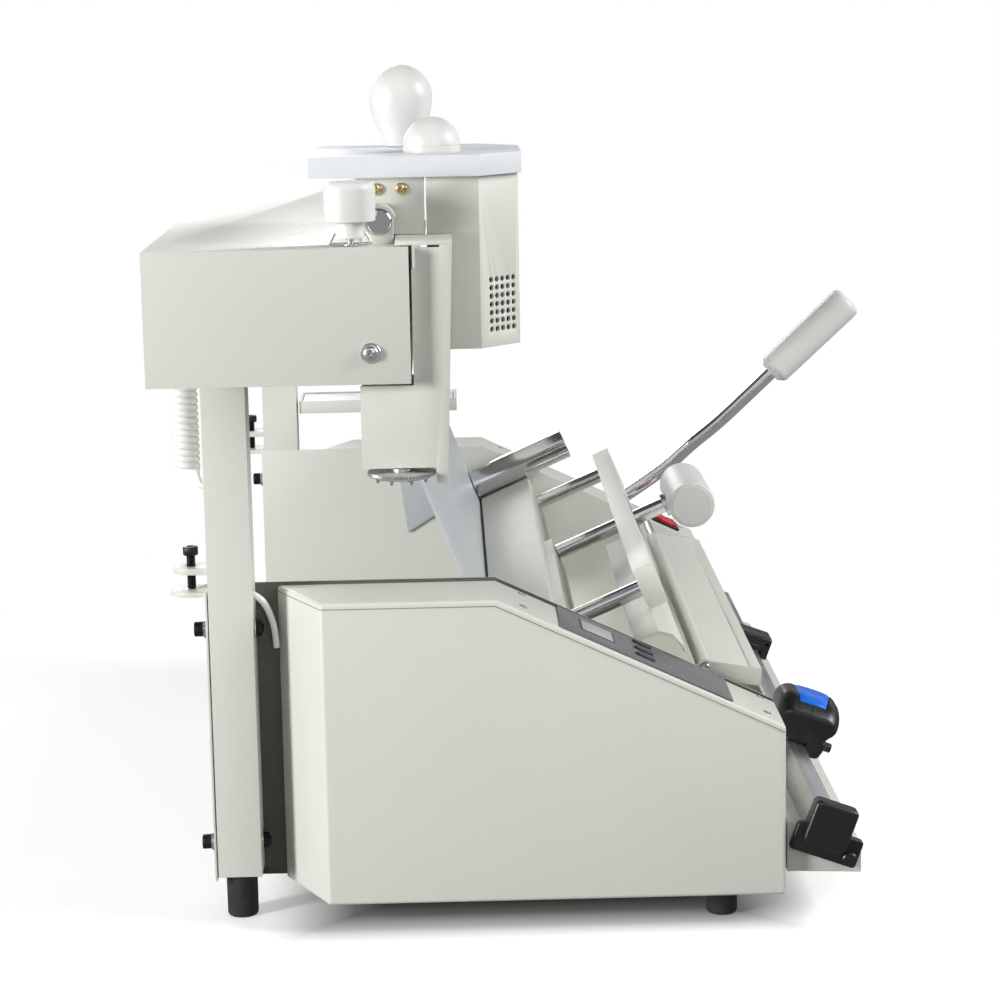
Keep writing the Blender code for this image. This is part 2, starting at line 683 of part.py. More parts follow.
def build_movable_jaw(frame):
    """A folded sheet jaw: a face along the book, a flat top and a front with a stiffener."""
    wall = 2.0
    ledge = JAW_LEDGE
    outline = [
        (3, -46), (3, 0), (ledge, 0), (ledge, -34), (ledge - wall, -34), (ledge - wall, -wall),
        (3 + wall, -wall), (3 + wall, -46),
    ]
    jaw = add("movable_jaw", forward_prism(outline, -222, 222), "body_paint", origin=(0, -3, ROD_UP),
              parent=frame)
    fuse(jaw, forward_block((-222, 12), (ledge - 1, JAW_FRONT), (-33, -9)), parent=frame)
    for side in (-1, 1):
        bore = rod((side * ROD_X, ROD_UP), ROD_RADIUS + GAP, "Y", -JAW_FRONT - 2, 1)
        cut(jaw, bore, parent=frame)


def build_clamp_screw(frame):
    screw = rod((0, ROD_UP), ROD_RADIUS, "Y", -T_HANDLE_FORWARD + T_HANDLE_RADIUS + GAP, -JAW_FRONT - GAP)
    add("clamp_screw", screw, "chrome", origin=(0, -JAW_FRONT, ROD_UP), parent=frame)
    half = 39.5
    centre = (-T_HANDLE_FORWARD, ROD_UP)
    stations = ((0.9, half), (1.0, half - 1.2))
    mesh = bmesh.new()
    rings = []
    levels = [(-reach, scale) for scale, reach in stations]
    levels += [(reach, scale) for scale, reach in reversed(stations)]
    for level, scale in levels:
        points = circle(centre, T_HANDLE_RADIUS * scale, 32)
        rings.append([mesh.verts.new((level, y, z)) for y, z in points])
    for lower, upper in zip(rings, rings[1:]):
        for i in range(32):
            j = (i + 1) % 32
            mesh.faces.new((lower[i], lower[j], upper[j], upper[i]))
    mesh.faces.new(rings[0])
    mesh.faces.new(rings[-1])
    add("t_handle", mesh, "white_plastic", origin=(0, *centre), parent=frame)


# ======================================================================================
# press bar, inner cover and lever
# ======================================================================================

def build_press(frame):
    forward, up = PRESS_HINGE
    end = PLATE_X - GAP
    shaft = rod((-forward, up), PRESS_SHAFT_RADIUS, "X", -end, end, 16)
    add("press_shaft", shaft, "steel", origin=(0, -forward, up), parent=frame)
    top_back, top_front = (108.0, -63.2), (136.5, -82.0)
    outline = [
        top_back, (129.6, -77.6), (130.2, -78.9), (131.2, -78.5), top_front,
        (131.8, -91.5), (113.5, -80.0), (108.2, -72.0),
    ]
    low_x, high_x = -224, 147
    bar = add("press_bar", forward_prism(outline, low_x, high_x), "body_paint",
              origin=(0, -forward, up), parent=frame)
    sleeve = circle((-forward, up), PRESS_SLEEVE_RADIUS, 24)
    fuse(bar, prism(sleeve, "X", low_x, high_x), parent=frame)
    bore = rod((-forward, up), PRESS_SHAFT_RADIUS + GAP, "X", low_x - 1, high_x + 1, 16)
    cut(bar, bore, parent=frame)
    cover = [
        (76.3, -35.5), (91, -35.5), (98, -41), (101, -50), (101, -54), (99.5, -54), (99.5, -50.2),
        (96.8, -42.2), (90.4, -37.1), (77.9, -37.1), (77.9, -60), (76.3, -60),
    ]
    add("inner_cover", forward_prism(cover, -end, 44), "body_paint", parent=frame)


def build_lever():
    x, y, z = LEVER_PIVOT
    pivot = rod((y, z), 4.0, "X", HOUSING_OUTER_X + GAP, 303, 24)
    pin = add("lever_pivot", pivot, "steel", origin=LEVER_PIVOT)
    fuse(pin, rod((y, z), 14.0, "X", HOUSING_OUTER_X + GAP, 285.2, 24))
    fuse(pin, rod((y, z), 7.5, "X", 300.2, 303, 24))
    path = [
        (x, y - 6, z + 6.0), (x, -120, 141.5), (x, -150, 162), (x, -172, 181), (x, -197, 201.5),
        (x, -245, 246.5),
    ]
    arm = add("lever_arm", sweep(path, [LEVER_ROD_RADIUS] * len(path), 16), "chrome", origin=LEVER_PIVOT)
    fuse(arm, rod((y, z), 11.0, "X", 285.6, 299.6, 24))
    cut(arm, rod((y, z), 4.0 + GAP, "X", 284, 301, 24))
    grip_start = Vector((x, -232.5, 234.8))
    direction = Vector((0, -57, 53)).normalized()
    stations = [(0, 7.5), (2.0, 11.5), (4.5, 12.7), (76, 12.7), (79.5, 11.2), (81.5, 8.5)]
    points = [grip_start + direction * distance for distance, _ in stations]
    grip = add("lever_grip", sweep(points, [radius for _, radius in stations], 24), "white_plastic",
               origin=LEVER_PIVOT)
    bore = [grip_start - direction * 5, grip_start + direction * 30]
    cut(grip, sweep(bore, [LEVER_ROD_RADIUS + GAP] * 2, 16))


# ======================================================================================
# cover table, stops and side guide (tilted frame)
# ======================================================================================

def build_table(frame):
    """The bent sheet with its end cheeks, and the tall rail the guide runs on."""
    depth = TABLE_DEPTH
    lean = math.tan(TABLE_TILT)
    lip = 15.5
    flange = 28.5
    profile = [
        (0, 0), (depth, 0), (depth + lip * lean, -lip), (depth - SHEET + lip * lean, -lip),
        (depth - SHEET, -SHEET), (SHEET, -SHEET), (SHEET + flange * lean, -flange),
        (flange * lean, -flange),
    ]
    cheek = [(0, 0), (depth, 0), (depth + lip * lean, -lip), (flange * lean, -flange)]
    end = TABLE_HALF_LENGTH
    table = add("front_table", forward_prism(profile, -end, end), "body_paint", parent=frame)
    for low, high in ((-end, -end + SHEET), (end - SHEET, end)):
        fuse(table, forward_prism(cheek, low, high), parent=frame)
    add("table_rail", forward_block((-end, end), RAIL_FORWARD, (GAP, RAIL_TOP)), "steel", parent=frame)
    build_near_stop(frame)
    build_far_stop(frame)
    build_side_guide(frame)


def rounded_block(x, forward, up, radius):
    """A block whose four long edges along X are rounded."""
    a0, a1 = -forward[1] + radius, -forward[0] - radius
    b0, b1 = up[0] + radius, up[1] - radius
    outline = arc((a1, b1), radius, 0, 90, 4) + arc((a0, b1), radius, 90, 180, 4)
    outline += arc((a0, b0), radius, 180, 270, 4) + arc((a1, b0), radius, 270, 360, 4)
    return prism(outline, "X", *x)


def build_near_stop(frame):
    """The end stop: a block before the rail's end on a foot fixed to the cheek with a knob."""
    back = -TABLE_HALF_LENGTH - GAP
    stop = add("near_stop_block", rounded_block((-282, back), (9.7, 35.5), (-6.8, 19.7), 2.5),
               "black_plastic", parent=frame)
    fuse(stop, rounded_block((-276, back), (5.3, 45), (-13.8, 3.0), 2.0), parent=frame)
    fuse(stop, rod((-39.6, -8.4), 4.2, "X", -280, -275), parent=frame)


def build_far_stop(frame):
    """A saddle over the rail: top plate, front leg and the slider under the plate."""
    x = FAR_STOP_X
    rail_front = RAIL_FORWARD[1] + GAP
    stop = add("far_stop_block", rounded_block(x, (-1.5, 29), (SADDLE_LOW, 28.4), 2.0), "black_plastic",
               parent=frame)
    fuse(stop, forward_block(x, (rail_front + 1.5, 28.8), (12.6, 24)), parent=frame)
    fuse(stop, forward_block((x[0] + 1, x[1] - 1), (RAIL_FORWARD[0], 26), (RAIL_TOP + GAP, 22)), parent=frame)


def guide_section(back, front, top):
    """One section of the guide: a domed body over the rail, its front leg reaching lower."""
    corner = 0.20 * (front - back)
    shoulder = arc((-front + corner, top - corner), corner, 180, 90, 4)
    shoulder += arc((-back - corner, top - corner), corner, 90, 0, 4)
    inner = -RAIL_FORWARD[1] - GAP
    below = [
        (-back - 0.4, SADDLE_LOW), (inner - 0.6, SADDLE_LOW), (inner - 0.6, 12.0),
        (-front + 5.6, 12.0), (-front + 2.8, 24.0),
    ]
    return shoulder + below


def button_section(back, front, bottom, top):
    return [(-back, bottom), (-back, top), (-front, top), (-front, bottom)]


def build_side_guide(frame):
    """The sliding guide: a domed body on the rail, a blue release button, a lock knob."""
    low, high = GUIDE_X
    sections = (
        (low, 0.6, 34.0, 36.6), (low + 1.4, -0.4, 35.6, 39.6), (low + 5.0, -1.2, 37.2, 43.4),
        (low + 11.0, -1.6, 38.2, 46.0), (high - 8.0, -1.6, 38.2, 46.4), (high - 2.0, -1.0, 37.0, 44.2),
        (high, 0.6, 34.6, 40.8),
    )
    guide = None
    for (x_a, *size_a), (x_b, *size_b) in zip(sections, sections[1:]):
        slice_mesh = loft(guide_section(*size_a), x_a, guide_section(*size_b), x_b, "X")
        if guide is None:
            guide = add("side_guide", slice_mesh, "black_plastic", origin=(low, -10, 25), parent=frame)
        else:
            fuse(guide, slice_mesh, parent=frame)
    fuse(guide, forward_block((low + 1.5, high - 1.5), RAIL_FORWARD, (RAIL_TOP + GAP, 24)), parent=frame)
    middle = (low + high) / 2
    fuse(guide, rod((middle, LOCK_KNOB_UP), 2.2, "Y", -34.9, -28), parent=frame)

    near, crest, far = low + 7.0, low + 15.0, high - 4.5
    pocket_near = button_section(9.5, 27.4, 32.0, 54.0)
    pocket_far = button_section(7.4, 32.6, 32.0, 54.0)
    cut(guide, loft(pocket_near, near - 0.4, pocket_far, far + 0.4, "X"), parent=frame)
    button_near = button_section(9.9, 27.0, 36.0, 44.6)
    button_crest = button_section(9.2, 28.8, 36.0, 47.2)
    button_far = button_section(7.8, 32.2, 36.0, 47.6)
    button = add("guide_button", loft(button_near, near, button_crest, crest, "X"), "blue_plastic",
                 origin=(low, -20, 40), parent=frame)
    fuse(button, loft(button_crest, crest, button_far, far, "X"), parent=frame)
    knob = rod((middle, LOCK_KNOB_UP), 3.0, "Y", -40.0, -35.2, 16)
    add("guide_lock_knob", knob, "black_plastic", origin=(middle, -36, LOCK_KNOB_UP), parent=frame)


# ======================================================================================
# controls on the housings' sloping tops (tilted frames)
# ======================================================================================

def build_control_panel(frame):
    """The film panel with three oval buttons; x is measured from the panel's middle."""
    panel_top = 1.2
    panel = add("control_panel", forward_block((-24.5, 24.5), (38.5, 145), (GAP, panel_top)),
                "panel_film", parent=frame)
    length, width, height = 11.8, 6.0, 1.1
    for name, x in (("right", 17.5), ("middle", 3.0), ("left", -11.5)):
        centre = (x, -91.5)
        hole = slot_outline(centre, length + 2 * GAP, width + 2 * GAP)
        cut(panel, prism(hole, "Z", -1, panel_top + 1), parent=frame)
        cap = prism(slot_outline(centre, length, width), "Z", panel_top + 0.1, panel_top + height + 0.1)
        add(f"{name}_button", cap, "panel_film", origin=(*centre, panel_top), parent=frame)


def build_power_switch(frame):
    """A red rocker in a black frame on the far housing's slope."""
    bezel = add("switch_bezel", forward_block((-14, 14), (141, 163), (GAP, 2.0)), "black_plastic",
                parent=frame)
    cut(bezel, forward_block((-11, 11), (143.5, 160.5), (-1, 4)), parent=frame)
    centre = 152.0
    half = 8.0
    rise = 1.6
    outline = [
        (centre - half, GAP + 1.2), (centre - half, 3.2 + rise), (centre, 3.2), (centre + half, 3.6),
        (centre + half, GAP + 1.2), (centre, GAP),
    ]
    add("power_switch", forward_prism(outline, -10.5, 10.5), "red_plastic",
        origin=(0, -centre, 0), parent=frame)


def shift_machine():
    """Hang everything on one empty, which brings the bounding box's middle over the origin."""
    machine = bpy.data.objects.new("machine_frame", None)
    bpy.context.scene.collection.objects.link(machine)
    machine.location = Vector(MACHINE_SHIFT) * MM
    for obj in list(bpy.data.objects):
        if obj.parent is None and obj is not machine:
            obj.parent = machine


def main():
    clear_scene()
    clamp_frame = make_frame("clamp_frame", CLAMP_ORIGIN, -CLAMP_TILT)
    table_frame = make_frame("table_frame", TABLE_ORIGIN, TABLE_TILT)
    slope_middle = (HOUSING_OUTER_X + HOUSING_INNER_X) / 2
    panel_frame = make_frame("panel_frame", (-slope_middle, SLOPE_TOP_Y, HOUSING_TOP_Z), SLOPE_ANGLE)
    switch_frame = make_frame("switch_frame", (slope_middle, SLOPE_TOP_Y, HOUSING_TOP_Z), SLOPE_ANGLE)
    build_base()
    build_gantry()
    build_carriage()
    build_clamp(clamp_frame)
    build_press(clamp_frame)
    build_lever()
    build_table(table_frame)
    build_control_panel(panel_frame)
    build_power_switch(switch_frame)
    shift_machine()


main()
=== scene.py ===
"""Looks for the desktop glue binding machine: materials, fine shapes and small fittings on the CAD frame.

Sizes are in millimetres unless a name says otherwise; piece() turns them into metres.
Shapes are drawn about the middle of the clamp, as in the design, and piece() shifts them by SHIFT.
The row frame has +X to the operator's right, -Y towards the operator and +Z up.
"""

import math

import bmesh
import bpy
from mathutils import Matrix, Vector


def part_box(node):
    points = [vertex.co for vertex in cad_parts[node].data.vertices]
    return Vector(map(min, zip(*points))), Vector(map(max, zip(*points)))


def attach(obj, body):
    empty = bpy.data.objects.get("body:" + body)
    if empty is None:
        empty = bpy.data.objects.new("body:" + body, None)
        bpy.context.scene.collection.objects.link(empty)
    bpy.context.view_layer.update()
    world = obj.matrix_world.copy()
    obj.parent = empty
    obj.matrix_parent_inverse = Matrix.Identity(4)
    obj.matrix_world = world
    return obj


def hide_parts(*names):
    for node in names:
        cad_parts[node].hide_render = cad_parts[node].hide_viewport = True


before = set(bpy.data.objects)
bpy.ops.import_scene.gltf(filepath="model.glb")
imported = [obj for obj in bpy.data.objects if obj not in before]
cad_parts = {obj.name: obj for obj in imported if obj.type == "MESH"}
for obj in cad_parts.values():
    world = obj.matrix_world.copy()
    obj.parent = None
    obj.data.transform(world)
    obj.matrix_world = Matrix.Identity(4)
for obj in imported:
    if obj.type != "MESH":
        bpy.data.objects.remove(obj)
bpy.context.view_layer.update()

MM = 0.001
IDENTITY = Matrix.Identity(4)
SHIFT = Vector((2.1, 61.651, 0.0))
DESIGN = Matrix.Translation(SHIFT)

SIDES = (("near", -1), ("far", 1))
# the side housings: X is from the middle to either side
HOUSING_INNER, HOUSING_OUTER = 228.0, 280.0
FRONT_Y, SLOPE_TOP_Y, REAR_Y, REAR_INNER_Y = -170.0, -9.0, 89.0, 116.0
HOUSING_LOW, NOSE_TOP, HOUSING_TOP = 17.0, 116.0, 192.0
# the posts' middles, and the height of the clamp's screw and rods in the clamp's frame
POST_X, POST_Y = 240.5, 140.7
SCREW_UP = -17.0
# the ends of the side guide along X, and the oval keys of the control panel
GUIDE_ENDS = (-155.0, -117.0)
KEY_LENGTH, KEY_WIDTH, KEY_DOWN = 11.8, 6.0, 91.5
KEYS = (("right", 17.5), ("middle", 3.0), ("left", -11.5))


# ---- tilted frames of the design: local X along the machine, local -Y forward, local Z up ----

def tilted(origin, degrees):
    return Matrix.Translation(Vector(origin)) @ Matrix.Rotation(math.radians(degrees), 4, "X")


SLOPE = math.degrees(math.atan2(HOUSING_TOP - NOSE_TOP, SLOPE_TOP_Y - FRONT_Y))
HOUSING_MIDDLE = (HOUSING_INNER + HOUSING_OUTER) / 2
CLAMP = tilted((0, -5, 156), -23.5)
TABLE = tilted((0, -172, 58), 20.0)
NEAR_SLOPE = tilted((-HOUSING_MIDDLE, SLOPE_TOP_Y, HOUSING_TOP), SLOPE)
FAR_SLOPE = tilted((HOUSING_MIDDLE, SLOPE_TOP_Y, HOUSING_TOP), SLOPE)


def along(origin, direction, base=IDENTITY):
    """A matrix whose local Z runs along a direction, from a point, both in a base frame."""
    turn = Vector(direction).to_track_quat("Z", "Y").to_matrix().to_4x4()
    return base @ Matrix.Translation(Vector(origin)) @ turn


# ---- materials ----

class Nodes:
    """A node tree under construction."""

    def __init__(self, tree):
        self.tree = tree

    def add(self, kind, settings=None, **inputs):
        node = self.tree.nodes.new(kind)
        for key, value in (settings or {}).items():
            setattr(node, key, value)
        for key, value in inputs.items():
            self.feed(node, key.replace("_", " "), value)
        return node

    def feed(self, node, socket, value):
        target = node.inputs[socket]
        if isinstance(value, bpy.types.NodeSocket):
            self.tree.links.new(value, target)
        else:
            target.default_value = value

    def ramp(self, value, *stops):
        """Colours or grey levels between stops of (place, level)."""
        node = self.add("ShaderNodeValToRGB", Fac=value)
        ramp = node.color_ramp
        while len(ramp.elements) < len(stops):
            ramp.elements.new(0.5)
        for element, (place, level) in zip(ramp.elements, stops):
            element.position = place
            element.color = (*level, 1) if isinstance(level, tuple) else (level, level, level, 1)
        return node.outputs["Color"]

    def math(self, operation, a, b=0.0):
        node = self.add("ShaderNodeMath", {"operation": operation})
        self.feed(node, 0, a)
        self.feed(node, 1, b)
        return node.outputs[0]

    def mix(self, share, a, b, blend="MIX"):
        node = self.add("ShaderNodeMix", {"data_type": "RGBA", "blend_type": blend})
        self.feed(node, 0, share)
        for index, value in ((6, a), (7, b)):
            self.feed(node, index, (*value, 1) if isinstance(value, tuple) else value)
        return node.outputs[2]

    def choose(self, share, first, second):
        """A shader that goes from the first to the second as the share goes from 0 to 1."""
        node = self.add("ShaderNodeMixShader")
        for index, value in enumerate((share, first, second)):
            self.feed(node, index, value)
        return node.outputs[0]


class Paint(Nodes):
    """A node material with a Principled shader at its end."""

    def __init__(self, name, **inputs):
        self.material = bpy.data.materials.new(name)
        self.material.use_nodes = True
        super().__init__(self.material.node_tree)
        self.shader = self.tree.nodes["Principled BSDF"]
        for key, value in inputs.items():
            self.set(key.replace("_", " "), value)
        self.coords = self.add("ShaderNodeTexCoord").outputs["Object"]
        self.normal = None

    def set(self, socket, value):
        self.feed(self.shader, socket, value)

    def stretched(self, scale, turn=(0, 0, 0)):
        """Object coordinates, scaled per axis, so that a pattern runs along one of them."""
        node = self.add("ShaderNodeMapping", Vector=self.coords)
        node.inputs["Scale"].default_value = scale
        node.inputs["Rotation"].default_value = turn
        return node.outputs["Vector"]

    def noise(self, scale, detail=2.0, roughness=0.5, coords=None):
        node = self.add("ShaderNodeTexNoise", Vector=coords or self.coords, Scale=scale, Detail=detail,
                        Roughness=roughness)
        return node.outputs["Fac"]

    def bump(self, height, strength, distance):
        """Add one layer of relief; distance is in metres."""
        node = self.add("ShaderNodeBump", Strength=strength, Distance=distance, Height=height)
        if self.normal is not None:
            self.feed(node, "Normal", self.normal)
        self.normal = node.outputs["Normal"]
        self.set("Normal", self.normal)


def scaled(colour, factor):
    return tuple(min(1.0, channel * factor) for channel in colour)


def cloudy(paint, colour, slow, spread):
    """A base colour that drifts a little, by a share of itself, with a slow noise."""
    darker, lighter = scaled(colour, 1 - spread), scaled(colour, 1 + spread)
    paint.set("Base Color", paint.ramp(slow, (0.3, darker), (0.7, lighter)))


def enamel(name, colour, roughness=0.42, streaks=0.0):
    """Sprayed enamel on sheet steel: orange peel, faint cloudiness, a few fine rubs."""
    paint = Paint(name, IOR=1.5)
    cloud = paint.noise(5.0, 3.0, 0.55)
    fleck = paint.noise(2600.0, 1.0)
    tone = paint.ramp(cloud, (0.25, scaled(colour, 0.965)), (0.75, scaled(colour, 1.03)))
    fine = paint.ramp(fleck, (0.30, 0.93), (0.42, 1.0))
    base = paint.mix(1.0, tone, fine, "MULTIPLY")
    if streaks:
        lines = paint.noise(26.0, 6.0, 0.7, coords=paint.stretched((1.0, 0.35, 9.0)))
        mask = paint.ramp(lines, (0.57, 0.0), (0.70, streaks))
        base = paint.mix(mask, base, scaled(colour, 0.80))
    paint.set("Base Color", base)
    rub = paint.noise(60.0, 5.0, 0.75, coords=paint.stretched((1.0, 3.0, 0.6), (0.3, 0.9, 0.2)))
    paint.set("Roughness", paint.ramp(rub, (0.2, roughness - 0.07), (0.8, roughness + 0.09)))
    paint.bump(paint.noise(420.0, 2.0, 0.5), 0.22, 0.00012)
    paint.bump(paint.noise(11.0, 2.0, 0.5), 0.10, 0.0012)
    return paint


def powder_coat(*settings, **more):
    """The enamel as a finished material."""
    return enamel(*settings, **more).material


def enamel_with_painted_shade(name, colour, deep, limits):
    """The sheet's enamel with painted shade: darker where both X and Y lie below their limits."""
    paint = enamel(name, colour)
    place = paint.add("ShaderNodeNewGeometry").outputs["Position"]
    split = paint.add("ShaderNodeSeparateXYZ", Vector=place)
    outside = paint.math("LESS_THAN", split.outputs["X"], limits[0])
    before = paint.math("LESS_THAN", split.outputs["Y"], limits[1])
    mask = paint.math("MULTIPLY", outside, before)
    base = paint.shader.inputs["Base Color"].links[0].from_socket
    paint.set("Base Color", paint.mix(mask, base, deep))
    return paint.material


def moulded(name, colour, roughness=0.28, grain=900.0, depth=0.10, cloud=0.03):
    """Injection-moulded plastic: a fine skin grain, slow tone changes, small handling marks."""
    paint = Paint(name, IOR=1.47)
    cloudy(paint, colour, paint.noise(16.0, 3.0, 0.5), cloud)
    marks = paint.noise(90.0, 6.0, 0.75, coords=paint.stretched((1.0, 1.0, 3.5), (0.4, 0.2, 0.0)))
    paint.set("Roughness", paint.ramp(marks, (0.35, roughness), (0.75, roughness + 0.14)))
    paint.bump(paint.noise(grain, 3.0, 0.6), depth, 0.00008)
    return paint.material


def plated(name, colour, roughness, lines=(1.0, 1.0, 1.0), strength=0.10, tint=0.06):
    """Bright metal with fine drawing or grinding lines across the axis that is scaled most."""
    paint = Paint(name, Metallic=1.0)
    coords = paint.stretched(lines)
    fine = paint.noise(700.0, 3.0, 0.65, coords=coords)
    cloudy(paint, colour, paint.noise(30.0, 4.0, 0.6), tint)
    smear = paint.noise(120.0, 5.0, 0.7, coords=coords)
    paint.set("Roughness", paint.ramp(smear, (0.3, roughness * 0.75), (0.75, roughness * 1.7)))
    paint.bump(fine, strength, 0.00004)
    return paint.material


def rubbery(name, colour):
    """Matt black rubber with a little dust."""
    roughness = 0.72
    paint = Paint(name, IOR=1.45)
    dust = paint.noise(240.0, 5.0, 0.7)
    paint.set("Base Color", paint.ramp(dust, (0.45, colour), (0.80, scaled(colour, 2.4))))
    paint.set("Roughness", paint.ramp(dust, (0.3, roughness), (0.8, min(1.0, roughness + 0.15))))
    paint.bump(paint.noise(1500.0, 3.0, 0.6), 0.25, 0.0001)
    return paint.material


def membrane(name, colour):
    """Printed film over the controls, with a fine matt texture."""
    paint = Paint(name, IOR=1.5)
    cloudy(paint, colour, paint.noise(40.0, 2.0), 0.05)
    grain = paint.noise(3000.0, 2.0)
    paint.set("Roughness", paint.ramp(grain, (0.3, 0.34), (0.7, 0.48)))
    paint.bump(grain, 0.12, 0.00005)
    return paint.material


BODY = (0.655, 0.660, 0.600)
# painted shade: the near plate's colour is darkened where it lies in shade between the post and the housing;
# the limits are in world metres, below these in X and in Y
PAINTED_SHADE_COLOUR = (0.070, 0.072, 0.052)
PAINTED_SHADE_LIMITS = (-0.2252, 0.2145)
M = {
    "body": powder_coat("body_paint_look", BODY),
    "body_with_painted_shade": enamel_with_painted_shade("body_paint_with_painted_shade_look", BODY, PAINTED_SHADE_COLOUR, PAINTED_SHADE_LIMITS),
    "seam": powder_coat("seam_look", scaled(BODY, 0.35), 0.6),
    "cap": powder_coat("cap_paint_look", (0.735, 0.760, 0.790), 0.40, streaks=0.22),
    # the fixed jaw's own pale blue-grey, darkened by about a fifth as painted shade
    "jaw": powder_coat("jaw_paint_look", (0.470, 0.495, 0.515), 0.34),
    "white": moulded("white_plastic_look", (0.715, 0.710, 0.690), 0.33, grain=260.0, depth=0.006),
    "cable": moulded("cable_look", (0.860, 0.845, 0.820), 0.38, grain=1600.0, depth=0.16),
    "black": moulded("black_plastic_look", (0.010, 0.010, 0.011), 0.26, grain=1300.0, depth=0.12, cloud=0.2),
    "blue": moulded("blue_plastic_look", (0.008, 0.150, 0.720), 0.26, grain=1300.0, depth=0.14, cloud=0.05),
    "red": moulded("red_plastic_look", (0.640, 0.012, 0.010), 0.22, grain=1000.0, cloud=0.05),
    "film": membrane("panel_film_look", (0.155, 0.160, 0.168)),
    "film_light": membrane("panel_window_look", (0.420, 0.430, 0.440)),
    "film_dark": membrane("panel_button_look", (0.055, 0.058, 0.062)),
    "chrome": plated("chrome_look", (0.74, 0.75, 0.77), 0.075, lines=(6.0, 1.0, 1.0), strength=0.05),
    "chrome_bent": plated("chrome_lever_look", (0.74, 0.75, 0.77), 0.085, strength=0.0),
    "chrome_up": plated("chrome_along_look", (0.74, 0.75, 0.77), 0.085, lines=(1.0, 5.0, 5.0), strength=0.05),
    "steel": plated("steel_look", (0.56, 0.57, 0.58), 0.30, lines=(0.15, 5.0, 5.0), strength=0.30),
    "zinc": plated("zinc_look", (0.62, 0.63, 0.64), 0.24, strength=0.12),
    "brass": plated("yellow_zinc_look", (0.70, 0.58, 0.30), 0.22, strength=0.12, tint=0.15),
    "oxide": plated("black_oxide_look", (0.035, 0.035, 0.037), 0.34, strength=0.2, tint=0.2),
    "rubber": rubbery("rubber_look", (0.016, 0.016, 0.017)),
}


# ---- mesh helpers ----

def smooth_by_angle():
    """A node group that shades a mesh smooth except at edges sharper than its limit."""
    group = bpy.data.node_groups.new("smooth_by_angle", "GeometryNodeTree")
    group.interface.new_socket("Geometry", in_out="INPUT", socket_type="NodeSocketGeometry")
    group.interface.new_socket("Geometry", in_out="OUTPUT", socket_type="NodeSocketGeometry")
    limit = math.radians(34)
    entry = group.nodes.new("NodeGroupInput")
    leave = group.nodes.new("NodeGroupOutput")
    faces = group.nodes.new("GeometryNodeSetShadeSmooth")
    edges = group.nodes.new("GeometryNodeSetShadeSmooth")
    edges.domain = "EDGE"
    edges.inputs["Shade Smooth"].default_value = False
    angle = group.nodes.new("GeometryNodeInputMeshEdgeAngle")
    compare = group.nodes.new("FunctionNodeCompare")
    compare.data_type = "FLOAT"
    compare.operation = "GREATER_THAN"
    compare.inputs[1].default_value = limit
    link = group.links.new
    link(entry.outputs[0], faces.inputs["Geometry"])
    link(faces.outputs[0], edges.inputs["Geometry"])
    link(angle.outputs["Unsigned Angle"], compare.inputs[0])
    link(compare.outputs[0], edges.inputs["Selection"])
    link(edges.outputs[0], leave.inputs[0])
    return group


SMOOTH = smooth_by_angle()


def soften(obj, bevel, segments=3):
    """Round an object's edges by a width in millimetres and shade it smooth."""
    if bevel:
        modifier = obj.modifiers.new("edges", "BEVEL")
        modifier.width = bevel * MM
        modifier.segments = segments
        modifier.limit_method = "ANGLE"
        modifier.angle_limit = math.radians(32)
        modifier.use_clamp_overlap = True
        modifier.miter_outer = "MITER_ARC"
    modifier = obj.modifiers.new("smooth", "NODES")
    modifier.node_group = SMOOTH


def dress(node, look, bevel=0.5, segments=3, planar=True):
    """Give a CAD node its finish: merged and cleaned faces, rounded edges, a material."""
    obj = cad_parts[node]
    for name in ("custom_normal", "sharp_edge"):
        attribute = obj.data.attributes.get(name)
        if attribute is not None:
            obj.data.attributes.remove(attribute)
    obj.data.materials.clear()
    obj.data.materials.append(M[look])
    weld = obj.modifiers.new("weld", "WELD")
    weld.merge_threshold = 0.00001
    if planar:
        merge = obj.modifiers.new("planar", "DECIMATE")
        merge.decimate_type = "DISSOLVE"
        merge.angle_limit = math.radians(0.5)
    soften(obj, bevel, segments)
    return obj


def piece(name, mesh, look, body, place=IDENTITY, stands_for=(), slot=None, bevel=0.0, segments=3):
    """Make one visual piece from a mesh drawn in millimetres and let it ride on a CAD body."""
    mesh.transform(DESIGN @ place)
    bmesh.ops.scale(mesh, vec=Vector((MM, MM, MM)), verts=mesh.verts)
    bmesh.ops.recalc_face_normals(mesh, faces=mesh.faces)
    data = bpy.data.meshes.new(name)
    mesh.to_mesh(data)
    mesh.free()
    data.materials.append(M[look])
    obj = bpy.data.objects.new(name, data)
    bpy.context.scene.collection.objects.link(obj)
    soften(obj, bevel, segments)
    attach(obj, body)
    if stands_for:
        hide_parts(*stands_for)
    return obj


def fillet(points, radius, steps=5, closed=False):
    """Round the corners of a polyline; radius is one number, or one for each point."""
    result = []
    count = len(points)
    for i, point in enumerate(points):
        reach = radius[i] if isinstance(radius, (list, tuple)) else radius
        if not reach or (not closed and i in (0, count - 1)):
            result.append(tuple(point))
            continue
        before, here, after = Vector(points[i - 1]), Vector(point), Vector(points[(i + 1) % count])
        to_before, to_after = before - here, after - here
        reach = min(reach, to_before.length * 0.49, to_after.length * 0.49)
        start = here + to_before.normalized() * reach
        end = here + to_after.normalized() * reach
        for k in range(steps + 1):
            t = k / steps
            result.append(tuple(start.lerp(here, t).lerp(here.lerp(end, t), t)))
    return result


def quarter_curve(reach, low, height, steps):
    """Points of (radius, height) up a quarter ellipse, without its two ends."""
    angles = [math.pi / 2 * i / steps for i in range(1, steps)]
    return [(reach * math.cos(angle), low + height * math.sin(angle)) for angle in angles]


